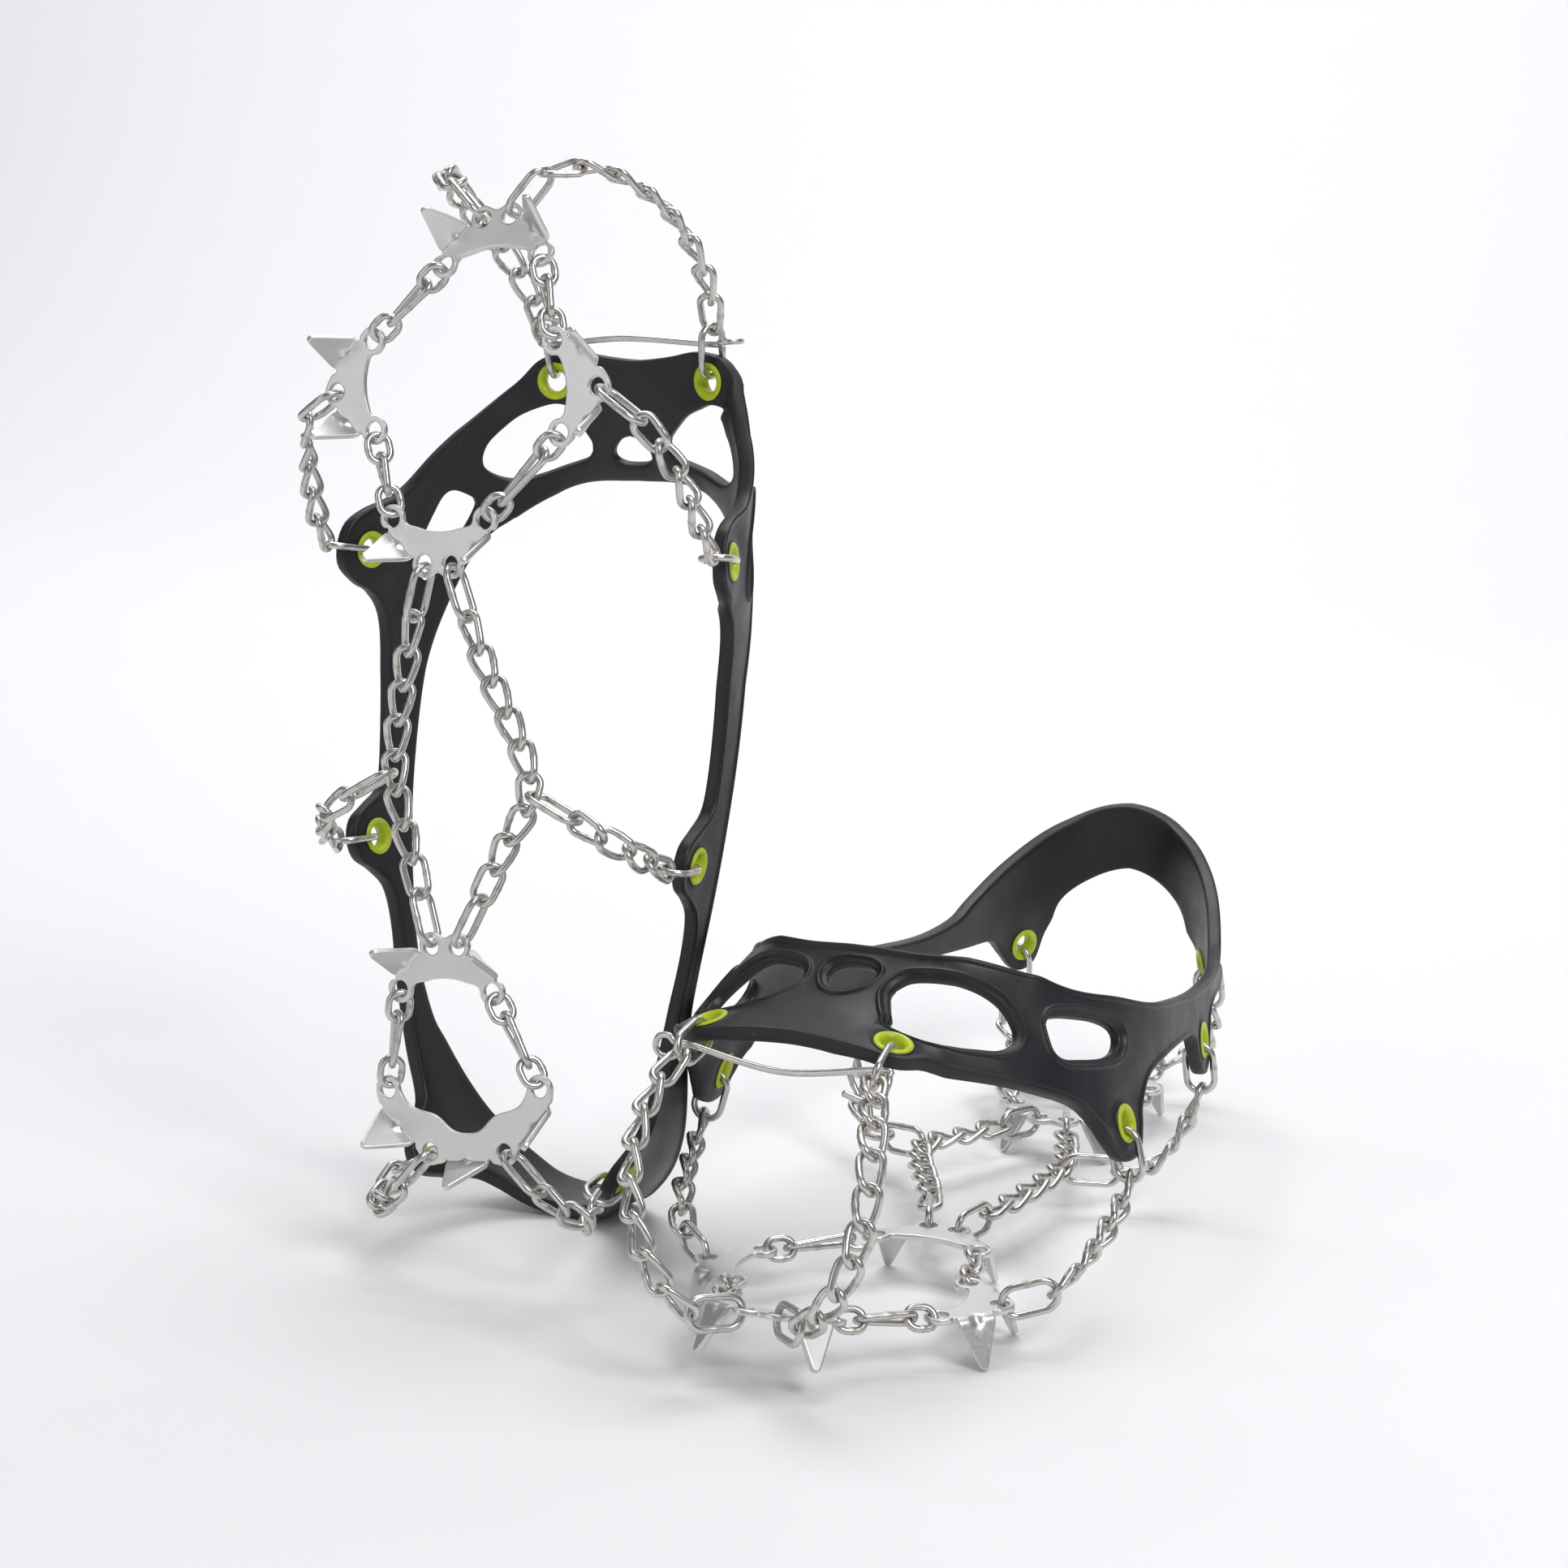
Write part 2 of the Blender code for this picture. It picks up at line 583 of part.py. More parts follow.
# --- one cleat ----------------------------------------------------------------------------
def away_from_boot(point):
    """Direction off the boot at a point of a chain: down at the sole, sideways at its wall, up at the toe."""
    x, y, z = point
    out = unit((x - np.interp(y, LEAN_Y, LEAN_X), y - min(max(y, -62), 140), 0.0))
    wall = min(1, max(0, z / 14))
    top = min(1, max(0, (z - 42) / 22)) if y < -50 else 0
    return unit(out * wall * (1 - 0.6 * top) + np.array([0, 0, wall - 1 + 1.2 * top]))


def path_end(name, sign):
    centre, normal, pull = eyelet_frame(name)
    flip = np.array([sign, 1, 1])
    return lean(centre, sign), normal * flip, pull * flip


def cleat(tag, matrix, materials):
    """One cleat's pieces, under an empty at its local origin."""
    root = bpy.data.objects.new(tag, None)
    bpy.context.scene.collection.objects.link(root)
    root.matrix_basis = matrix
    rubber, lime, steel, bright = materials
    harness(f"{tag}_harness", rubber, root)
    for kind, _, _ in EYELETS:
        for sign, side in ((1, "out"), (-1, "in")):
            eyelet(f"{tag}_eyelet_{kind}_{side}", kind, sign, lime, root)
    for name in PLATES:
        plate(name, f"{tag}_{name}", steel, root)

    up = [np.array([0, 0, 1.0])]
    # chains that climb from the plates to the eyelets: plate, hole, and the way round the sole
    climbs = (
        ("toe_chain", "toe",
         (("toe_plate", 0), ((20, -117, 9), (31, -119, 21), (41, -110, 38), (44.5, -94, 54))),
         (("toe_plate", 1), ((-9, -115, 9), (-21, -119, 22), (-25, -112, 40), (-21, -98, 57)))),
        ("fore_chain", "fore",
         (("side_plate_out", 1), ((54, -53, 2), (62, -38, 12))),
         (("side_plate_in", 1), ((-51, -53, 2), (-59, -38, 12)))),
        ("heel_chain", "heel",
         (("heel_plate", 2), ((32, 157, 0), (43, 166, 7))),
         (("heel_plate", 3), ((-14, 162, 0), (-27, 170, 8)))),
    )
    for label, kind, *sides in climbs:
        for (sign, side), ((plate_name, hole), way) in zip(((1, "out"), (-1, "in")), sides):
            start = plate_hole(plate_name, hole)
            end, normal, pull = path_end(kind, sign)
            line = [start, *map(np.array, way), end + pull * LONG_PITCH, end]
            bearing = run_points(line, True, True)
            rotation, _ = plate_place(plate_name)
            ups = [rotation @ np.array([0, 0, 1.0])]
            ups += [away_from_boot(m) for m in (bearing[1:-2] + bearing[2:-1]) / 2]
            ups.append(normal)
            links = Links()
            links.run(bearing, ups, True, True)
            pivot(links.build(f"{tag}_{label}_{side}", bright, root), start)

    # middle chains, each with a branch to the rear-side eyelet
    trunks = (
        ("out", 1, 1, 0, ((8, 12, 1), (24.8, 45.7, 2), (18.5, 62, 1.5)), ((49, 60, 2),)),
        ("in", -1, 0, 1, ((-15.5, 12, 1), (-20, 46, 2), (-13, 70, 1.5)), ((-44, 60, 2),)),
    )
    for side, sign, ball, arch, way, climb in trunks:
        a, b = plate_hole("ball_plate", ball), plate_hole("arch_plate", arch)
        trunk = run_points([a, *way, b], True, True)
        links = Links()
        made = links.run(trunk, up, True, True)
        # the branch hooks round the outer side of the link nearest the fork
        fork = 2 * np.array(way[1])
        held = min(made[1:-1], key=lambda m: np.linalg.norm(links.centre(m[2]) + links.centre(m[3]) - fork))
        facet = max(held[2:], key=lambda f: links.centre(f)[0] * sign)
        end, normal, pull = path_end("rear", sign)
        start = links.centre(facet) + unit(np.array(climb[0]) - links.centre(facet)) * NECK
        branch = run_points([start, *climb, end + pull * LONG_PITCH, end], True, True)
        ups = up + [away_from_boot(m) for m in (branch[1:-2] + branch[2:-1]) / 2] + [normal]
        twig = links.run(branch, ups, True, True)
        links.neck(facet, twig[0][0])
        links.build(f"{tag}_mid_chain_{side}", bright, root)

    # short link groups between plates
    ties = (
        ("tie_toe_out", ("toe_plate", 2), ("side_plate_out", 0)),
        ("tie_toe_in", ("toe_plate", 3), ("side_plate_in", 0)),
        ("tie_ball_out", ("side_plate_out", 2), ("ball_plate", 3)),
        ("tie_ball_in", ("side_plate_in", 2), ("ball_plate", 2)),
        ("tie_heel_out", ("arch_plate", 2), ("heel_plate", 0)),
        ("tie_heel_in", ("arch_plate", 3), ("heel_plate", 1)),
    )
    for label, a, b in ties:
        a, b = plate_hole(*a), plate_hole(*b)
        ahead = unit(b - a)
        stops = (a, a + ahead * TIE_PITCH, b - ahead * TIE_PITCH, b)
        links = Links()
        made = [
            links.add(stops[i], stops[i + 1], up[0], CURB_HALF, 0, (0 if i == 1 else 90) - TIE_ROLL)
            for i in range(3)
        ]
        links.neck(made[0][1], made[1][0])
        links.neck(made[1][1], made[2][0])
        links.build(f"{tag}_{label}", bright, root)

    # bail wire, threaded through the first links at the toe eyelets
    (right, _, pull), (left, normal, back) = path_end("toe", 1), path_end("toe", -1)
    right, left = right + pull * BAIL_REACH, left + back * BAIL_REACH
    ring = [
        right + (6.6 + 3.2 * math.cos(a), -1.4 * k / 6, -1 + 3.2 * math.sin(a))
        for k, a in enumerate(np.radians((-190, -130, -70, -10, 50, 105, 150)))
    ]
    path = ring[::-1] + [right, (right + left) / 2 + (0, -1.5, -3.5), left]
    for across, along, off in ((-3.2, 1.5, -0.8), (-3.4, 5.5, -3.2), (0, 8.6, -4.4), (7, 7.4, -3.6)):
        path.append(left + (across, 0, 0) + back * along + normal * off)
    points, faces = tube(smooth(path, 3), BAIL_WIRE / 2, 4)
    pivot(node(f"{tag}_toe_bail", points, faces, bright, root), right)


def main():
    for obj in list(bpy.data.objects):
        bpy.data.objects.remove(obj, do_unlink=True)
    materials = (
        principled("black_elastomer", (0.012, 0.012, 0.014), 0, 0.5),
        principled("lime_plastic", (0.55, 0.68, 0.03), 0, 0.4),
        principled("stainless_plate", (0.62, 0.61, 0.6), 1, 0.3),
        principled("stainless_wire", (0.72, 0.71, 0.69), 1, 0.18),
    )
    flat = Matrix.Translation(Vector(FLAT_AT) * MM) @ Matrix.Diagonal((-1, 1, 1, 1))
    heel_down = Matrix(((1, 0, 0, 0), (0, 0, 1, 0), (0, -1, 0, 0), (0, 0, 0, 1)))
    rotation = (
        Matrix.Rotation(UPRIGHT_YAW, 4, "Z") @ Matrix.Rotation(UPRIGHT_LEAN, 4, "X")
        @ Matrix.Rotation(UPRIGHT_ROLL, 4, "Y")
    )
    upright = Matrix.Translation(Vector(UPRIGHT_AT) * MM) @ rotation @ heel_down
    cleat("flat", flat, materials)
    cleat("upright", upright, materials)


main()
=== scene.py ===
"""Looks of a pair of shoe ice cleats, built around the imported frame."""

import json
import math

import bmesh
import bpy
import numpy as np
from mathutils import Matrix, Vector
from mathutils.geometry import delaunay_2d_cdt


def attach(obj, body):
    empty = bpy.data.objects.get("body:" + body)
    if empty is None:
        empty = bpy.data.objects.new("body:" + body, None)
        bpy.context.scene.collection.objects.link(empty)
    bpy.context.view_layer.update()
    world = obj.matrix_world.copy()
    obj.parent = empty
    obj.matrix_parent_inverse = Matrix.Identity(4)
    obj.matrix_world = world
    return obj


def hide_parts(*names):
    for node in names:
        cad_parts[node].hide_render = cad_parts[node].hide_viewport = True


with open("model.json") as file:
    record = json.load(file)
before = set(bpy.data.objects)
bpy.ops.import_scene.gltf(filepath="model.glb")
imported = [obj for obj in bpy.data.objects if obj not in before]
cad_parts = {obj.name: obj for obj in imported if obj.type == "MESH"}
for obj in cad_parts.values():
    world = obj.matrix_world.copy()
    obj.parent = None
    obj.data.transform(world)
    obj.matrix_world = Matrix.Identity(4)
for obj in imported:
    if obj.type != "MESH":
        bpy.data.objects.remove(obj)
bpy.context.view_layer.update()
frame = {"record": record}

# --- dimensions of the CAD, mm --------------------------------------
WIRE = 2.0  # chain wire
CURB_PITCH, CURB_HALF = 9.5, 3.0  # a twisted link: its pitch, and half its width between wire middles
LONG_PITCH, LONG_HALF = 15.0, 4.1  # an end link
TIE_PITCH = 8.0  # an end link between plates
BAIL_WIRE = 1.8
BAIL_REACH = 10.6  # from the toe eyelets down to the bail
PLATE_T = 1.6
HOLE_R = 2.4  # link holes
SPIKE_LEN = 12.6  # below the plate's middle
SPIKE_SPLAY = math.radians(22)  # outward from straight down
SPIKE_TIP = 1.9  # width of the tip
BAND_T, BOSS_T = 3.8, 3.4  # the harness, and its flat bosses round the eyelets
BORE_R, BARREL_R, FLANGE_R = 3.0, 4.0, 5.4  # eyelets
BAND_LENGTH = 304.0  # half the harness, along its middle line

# The half harness runs from the front centre to the heel centre. Each row of BAND is a point of its
# middle line, the direction outward there, and the curvature of its cross-section.
BAND = (
    ((0, -53, 75.5), (0, -0.46, 0.89), -1 / 65),
    ((27, -53, 72), (0.22, -0.40, 0.89), -1 / 70),
    ((47, -42, 62), (0.75, -0.30, 0.58), 1 / 200),
    ((55.5, -18, 55), (0.93, -0.12, 0.35), 1 / 80),
    ((56, 22, 54), (0.98, 0.0, 0.18), 1 / 80),
    ((53, 65, 53), (0.98, 0.05, 0.15), 1 / 90),
    ((44.5, 115, 55), (0.96, 0.25, 0.12), 1 / 120),
    ((34, 152, 60), (0.75, 0.64, 0.12), 1 / 120),
    ((17, 172, 66), (0.4, 0.91, 0.08), 1 / 120),
    ((0, 177, 70), (0, 1.0, 0.06), 1 / 120),
)
# how far the boot's middle lies to its outer side, along its length
LEAN_Y = (-130, -66, -50, -20, 0, 20, 110, 150, 190)
LEAN_X = (22, 14, 8.5, 3, 1, 0, 1, 3, 4)
# The outlines below are (distance along the half band, height over its middle line).
TOP_EDGE = (
    (0, 18.5), (12, 19.5), (26, 23), (43, 26), (58, 26), (69, 24), (94, 18), (118, 10), (148, 5),
    (182, 0), (205, -3), (225, -3), (235, 0), (256, 6), (275, 11), (290, 13), (304, 14),
)
LOW_EDGE = (
    (0, -19.5), (12, -19.8), (21, -20.5), (30, -19.5), (38, -14), (49, -9), (60, -8.5), (68, -10),
    (73, -14), (76, -20), (80, -24.5), (86, -26), (92, -24.5), (96, -19), (98, -13), (103, -8.5),
    (112, -6.5), (130, -6), (148, -7), (156, -9.5), (160, -16), (164, -22), (170, -24), (176, -22),
    (180, -16), (186, -10.5), (198, -9.5), (215, -12), (232, -15), (246, -18), (251, -25),
    (255, -31), (260, -33), (265, -31), (269, -24), (275, -13.5), (288, -9), (304, -8),
)
CENTRE_HOLE = ((0, 12.9), (2.8, 12.7), (5.4, 11.2), (5.9, 9), (4.6, 6), (2.4, 3.8), (0, 3))
BIG_HOLE = (
    (12.6, 8.6), (14.6, 11.6), (19.5, 13.7), (25, 15), (31, 15.8), (36.5, 15.7), (42, 14.4), (47, 11.4),
    (50, 7.4), (49.4, 3.6), (46, 0), (41.5, -2.2), (36.5, -4.6), (31.5, -6), (27, -6.2), (23.2, -4.8),
    (19.2, -1.8), (15.4, 2.2), (12.8, 5.6),
)
SIDE_HOLE = (
    (60.8, 11.6), (63, 14), (71.6, 14.9), (83.4, 13.3), (91.4, 9.8), (93.4, 6.6), (90.6, 3.7), (85.6, 2.6),
    (72.4, 2.7), (66, 2.6), (63, 4.2), (61.6, 7.8),
)
SIDES = ((1, "out"), (-1, "in"))
# name, distance along the half band, height over its middle line
EYELETS = (("toe", 26, -12.8), ("fore", 86, -16), ("rear", 170, -14), ("heel", 260, -23.5))
TOE_TILT = 5  # degrees
FLARE_FROM, FLARE_TO = 66, 280  # stretch of the band whose lower edge flares outward
FLARE_BELOW, FLARE_RATE = -8, 0.009
BOSS_REACH, BOSS_EASE = 13, 4.5  # flat ground round an eyelet, and how wide it eases into the band
LOBE_R = 4.0


def lobe(hole, *degrees):
    """Points of a plate's round lobe, about its link hole."""
    turns = [math.radians(a) for a in degrees]
    return tuple((hole[0] + LOBE_R * math.cos(a), hole[1] + LOBE_R * math.sin(a)) for a in turns)


# Plates in the flat: outlines, link holes, and the fold line of each spike. A half outline is mirrored.
SMALL_HALF = (
    (0, -8.3), *lobe((4.3, -6.0), -122, -90, -58, -26), (8.6, -5.0), (17.0, 2.4),
    *lobe((15.1, 6.0), -18, 15, 50, 85, 120, 155, 190), (9.8, 4.4), (7.2, 3.9), (4, 3.1), (0, 2.8),
)
SMALL_HOLES = ((4.3, -6.0), (-4.3, -6.0), (15.1, 6.0), (-15.1, 6.0))
SMALL_FOLDS = (((8.6, -5.0), (17.0, 2.4)), ((-17.0, 2.4), (-8.6, -5.0)))
SIDE_OUTLINE = (
    (0.5, -8.3), *lobe((0, -12.2), 110, 135, 165, 200, 235, 270, 300, 325), (5.0, -13.4), (13.0, -5.0),
    *lobe((12.2, 1.2), -38, 0, 38), (13.0, 6.4), (5.0, 13.6),
    *lobe((0, 12.2), 35, 60, 90, 125, 160, 195, 225, 250), (0.5, 8.3), (1.4, 7.4), (2.0, 5.4), (2.6, 2.8),
    (2.8, 0), (2.6, -2.8), (2.0, -5.4), (1.4, -7.4),
)
SIDE_HOLES = ((0, -12.2), (12.2, 1.2), (0, 12.2))
SIDE_FOLDS = (((5.0, -13.4), (13.0, -5.0)), ((13.0, 6.4), (5.0, 13.6)))
HEEL_HALF = (
    (0, 3.6), (2.2, 3.5), (4.4, 2.9), (6.2, 1.7), (7.8, 0.2), (9.6, -1.2), (12, -2.1), (15.2, -2.8),
    (18.0, -4.0), (19.8, -6.0), *lobe((25.0, -8.6), 176, 200, 235, 270, 305, 340, 12),
    (28.0, -3.2), (18.0, 6.8), *lobe((12.2, 8.6), 5, 30, 60, 90, 115), (7.0, 11.6),
)
HEEL_HOLES = ((25.0, -8.6), (-25.0, -8.6), (12.2, 8.6), (-12.2, 8.6))
HEEL_FOLDS = (((28.0, -3.2), (18.0, 6.8)), ((-18.0, 6.8), (-28.0, -3.2)), ((7.0, 11.6), (-7.0, 11.6)))
# shape, centre, spin and pitch in degrees, and facing: 0 as drawn, 1 mirrored, 2 turned half round
PLATES = {
    "toe_plate": ("small", (7.0, -99.6, 5.4), -5.4, 18.0, 0),
    "side_plate_in": ("side", (-28.1, -59.7, 0), -3.0, 0, 1),
    "side_plate_out": ("side", (31.6, -59.7, 0), -6.5, 0, 0),
    "ball_plate": ("small", (-5.6, -17.6, 0), -0.4, 0, 2),
    "arch_plate": ("small", (0.0, 99.0, 0), -4.0, 0, 0),
    "heel_plate": ("heel", (7.7, 140.3, 0), -6.6, 0, 0),
}
# places of the lying and the standing cleat
FLAT_AT = (60.05, -28.85, SPIKE_LEN)
UPRIGHT_AT = (-61.45, -84.85, 186.2)
UPRIGHT_YAW, UPRIGHT_LEAN, UPRIGHT_ROLL = (math.radians(a) for a in (-3.5, -7.2, -1.8))


# --- small helpers --------------------------------------------------
def unit(v):
    v = np.asarray(v, float)
    return v / np.linalg.norm(v)


def units(rows):
    return rows / np.linalg.norm(rows, axis=1)[:, None]


def smooth(points, per=8):
    """Catmull-Rom curve through the points."""
    p = np.asarray(points, float)
    p = np.vstack([2 * p[0] - p[1], p, 2 * p[-1] - p[-2]])
    out = []
    for i in range(1, len(p) - 2):
        a, b, c, d = p[i - 1 : i + 3]
        for f in np.arange(per) / per:
            out.append(
                0.5 * (2 * b + (c - a) * f + (2 * a - 5 * b + 4 * c - d) * f**2
                       + (3 * b - a - 3 * c + d) * f**3)
            )
    return np.array(out + [p[-2]])


def resample(line, step=None, count=None):
    """Evenly spaced points along a line, about a step apart or of a given count."""
    line = np.asarray(line, float)
    run = np.concatenate([[0], np.cumsum(np.linalg.norm(np.diff(line, axis=0), axis=1))])
    count = count or max(2, int(round(run[-1] / step)) + 1)
    at = np.linspace(0, run[-1], count)
    return np.stack([np.interp(at, run, line[:, k]) for k in range(line.shape[1])], 1)


def turn(axis, degrees):
    return np.array(Matrix.Rotation(math.radians(degrees), 3, axis))


BAND_STEPS = 24  # points between two rows of BAND


class Band:
    """The half band's surface, from the front centre to the heel centre."""

    def __init__(self):
        flip = np.array([-1.0, 1, 1])
        p = np.array([b[0] for b in BAND], float)
        n = np.array([b[1] for b in BAND], float)
        wide = [np.vstack([a[2] * flip, a[1] * flip, a, a[-2] * flip, a[-3] * flip]) for a in (p, n)]
        line, out = (smooth(a, BAND_STEPS) for a in wide)
        along = units(np.gradient(line, axis=0))
        line, out, along = (a[2 * BAND_STEPS:-2 * BAND_STEPS] for a in (line, out, along))
        out = units(out - (out * along).sum(1)[:, None] * along)
        self.line, self.out, self.across = line, out, np.cross(out, along)
        step = np.linalg.norm(np.diff(line, axis=0), axis=1)
        self.run = np.concatenate([[0], np.cumsum(step)])
        self.run *= BAND_LENGTH / self.run[-1]
        self.bend = np.interp(
            np.linspace(0, len(BAND) - 1, len(line)), range(len(BAND)), [b[2] for b in BAND]
        )

    def at(self, s, v):
        """Point and outward direction at distance s along the half band and height v over its middle."""
        b, n, c = (
            np.array([np.interp(s, self.run, a[:, k]) for k in range(3)])
            for a in (self.line, self.out, self.across)
        )
        k = float(np.interp(s, self.run, self.bend))
        point = b + c * math.sin(v * k) / k - n * (1 - math.cos(v * k)) / k
        normal = unit(n * math.cos(v * k) + c * math.sin(v * k))
        if FLARE_FROM < s < FLARE_TO and v < FLARE_BELOW:
            point = point + normal * FLARE_RATE * (v - FLARE_BELOW) ** 2
        return point, normal


BAND_SURFACE = Band()


def eyelet_frame(name, tilt=0):
    """Centre, outward direction and pull direction (down the tab) of an eyelet, half band."""
    _, s, v = next(e for e in EYELETS if e[0] == name)
    centre, normal = BAND_SURFACE.at(s, v)
    below, _ = BAND_SURFACE.at(s, v - 3)
    above, _ = BAND_SURFACE.at(s, v + 3)
    pull = unit(below - above)
    side = unit(np.cross(normal, pull))
    normal = unit(np.cross(pull, side))
    c, d = math.cos(math.radians(tilt)), math.sin(math.radians(tilt))
    return centre, normal * c - pull * d, pull * c + normal * d


def lean(point, sign):
    """The place of a half band's point on the outer (1) or inner (-1) side of the leaning boot."""
    return np.array([point[0] * sign + np.interp(point[1], LEAN_Y, LEAN_X), point[1], point[2]])


FRAMES = {name: eyelet_frame(name) for name, _, _ in EYELETS}
TABS = {name: eyelet_frame(name, TOE_TILT if name == "toe" else 0) for name, _, _ in EYELETS}


def band_point(s, v, height):
    """A point of the harness at a height over its middle surface. Negative s is the other half."""
    sign, s = (1 if s >= 0 else -1), abs(s)
    point, normal = BAND_SURFACE.at(s, v)
    point = lean(point + normal * height, sign)
    flip = np.array([sign, 1, 1])
    for name, es, ev in EYELETS:
        away = math.hypot(s - es, v - ev)
        if away < BOSS_REACH:
            centre, up, pull = TABS[name]
            across = np.cross(pull, up)
            across = across * math.copysign(1, np.dot(across, BAND_SURFACE.at(es + 1, ev)[0] - centre))
            rise = height * BOSS_T / BAND_T
            flat = lean(centre, sign) + flip * (across * (s - es) - pull * (v - ev) + up * rise)
            blend = min(1, max(0, (BOSS_REACH - away) / BOSS_EASE))
            blend = blend * blend * (3 - 2 * blend)
            point = point + (flat - point) * blend
    return point


BOOT_FRONT, BOOT_BACK = -62, 140  # ends of the boot's straight part
SOLE_EDGE = 14  # height where the sole's edge has turned into the boot's wall
VAMP_FROM, VAMP_RISE, VAMP_BACK = 42, 22, -50  # the toe's top: where it starts, how high, how far back


def away_from_boot(point):
    """Direction off the boot at a point of a chain."""
    x, y, z = point
    out = unit((x - np.interp(y, LEAN_Y, LEAN_X), y - min(max(y, BOOT_FRONT), BOOT_BACK), 0.0))
    wall = min(1, max(0, z / SOLE_EDGE))
    top = min(1, max(0, (z - VAMP_FROM) / VAMP_RISE)) if y < VAMP_BACK else 0
    return unit(out * wall * (1 - 0.6 * top) + np.array([0, 0, wall - 1 + 1.2 * top]))


def on_side(frames, name, sign):
    """Place, outward direction and pull direction of an eyelet, on the outer (1) or inner (-1) side."""
    centre, normal, pull = frames[name]
    flip = np.array([sign, 1, 1])
    return lean(centre, sign), normal * flip, pull * flip


PATH_POINTS = 400  # fine enough to read a link's bearing point from


def run_points(path):
    """Bearing points along a path: a long link at each end, twisted links between."""
    line = smooth(path, 12)
    length = np.linalg.norm(np.diff(line, axis=0), axis=1).sum()
    between = length - 2 * LONG_PITCH
    count = max(1, round(between / CURB_PITCH))
    each = between / count
    at = [0.0, LONG_PITCH]
    at += [at[-1] + each * (i + 1) for i in range(count)]
    at.append(length)
    fine = resample(line, count=PATH_POINTS)
    along = np.linspace(0, length, PATH_POINTS)
    return np.stack([np.interp(at, along, fine[:, k]) for k in range(3)], 1)


def plate_shape(kind):
    """Outline, link holes and fold lines."""
    if kind == "side":
        return np.array(SIDE_OUTLINE, float), SIDE_HOLES, SIDE_FOLDS
    half, holes, folds = (SMALL_HALF, SMALL_HOLES, SMALL_FOLDS) if kind == "small" else (
        HEEL_HALF, HEEL_HOLES, HEEL_FOLDS)
    right = np.array(half, float)
    left = right[::-1] * (-1, 1)
    left = left[1:-1] if kind == "small" else left[:-1]
    return np.vstack([right, left]), holes, folds


def plate_place(name):
    """Rotation and centre of a plate in the cleat's frame."""
    _, centre, spin, pitch, facing = PLATES[name]
    rotation = turn("X", -pitch) @ turn("Z", spin)
    if facing == 2:
        rotation = rotation @ turn("Z", 180)
    mirror = np.diag([-1.0, 1, 1]) if facing == 1 else np.eye(3)
    return rotation @ mirror, np.array(centre, float)


def plate_hole(name, index):
    """Place of a plate's link hole in the cleat's frame."""
    rotation, centre = plate_place(name)
    _, holes, _ = plate_shape(PLATES[name][0])
    return rotation @ np.array([*holes[index], 0.0]) + centre


# --- pieces ---------------------------------------------------------
BODY_OF = {node: body for body, nodes in frame["record"]["behaviour"]["bodies"].items() for node in nodes}


def add_object(name, data):
    obj = bpy.data.objects.new(name, data)
    bpy.context.scene.collection.objects.link(obj)
    return obj


def piece(name, points, faces, material, matrix, marks=None, sharp=None):
    """A visual piece in place of the CAD node of the same name, riding on that node's body."""
    m = np.array(matrix)
    points = np.asarray(points, float) @ m[:3, :3].T + m[:3, 3]
    points[:, 2] = np.maximum(points[:, 2], 0)  # what rests on the ground is pressed flat there
    mesh = bpy.data.meshes.new(name + "_look")
    mesh.from_pydata(points.tolist(), [], [tuple(int(i) for i in f) for f in faces])
    if marks is not None:
        layer = mesh.attributes.new("mark", "FLOAT", "POINT")
        layer.data.foreach_set("value", np.asarray(marks, np.float32))
    bm = bmesh.new()
    bm.from_mesh(mesh)
    bmesh.ops.recalc_face_normals(bm, faces=bm.faces)
    bm.to_mesh(mesh)
    bm.free()
    mesh.shade_smooth()
    if sharp:
        mesh.set_sharp_from_angle(angle=math.radians(sharp))
    mesh.materials.append(material)
    obj = add_object(name + "_look", mesh)
    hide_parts(name)
    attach(obj, BODY_OF[name])


# --- sheets with rounded edges --------------------------------------
EDGE_SHARE = 0.44  # most that one edge's profile takes of the gap to the next edge
EDGE_EASE = 6  # rounds of evening out where a profile narrows
NO_NEIGHBOUR = 99.0
BLOCK = 400  # points measured against the edges at a time
SAME_POINT = 1e-7


def edge_profile(half, back, front):
    """(distance in from the edge, height over the middle), back to front, from heights over each face."""
    return [(d, -half + h) for d, h in back] + [(d, half + h) for d, h in front]


def in_loop(loop, points):
    """Even-odd test of many points."""
    x, y = points[:, 0], points[:, 1]
    hit = np.zeros(len(points), bool)
    for (x0, y0), (x1, y1) in zip(loop, np.roll(loop, -1, axis=0)):
        if y0 != y1:
            hit ^= ((y0 > y) != (y1 > y)) & (x < (x1 - x0) * (y - y0) / (y1 - y0) + x0)
    return hit


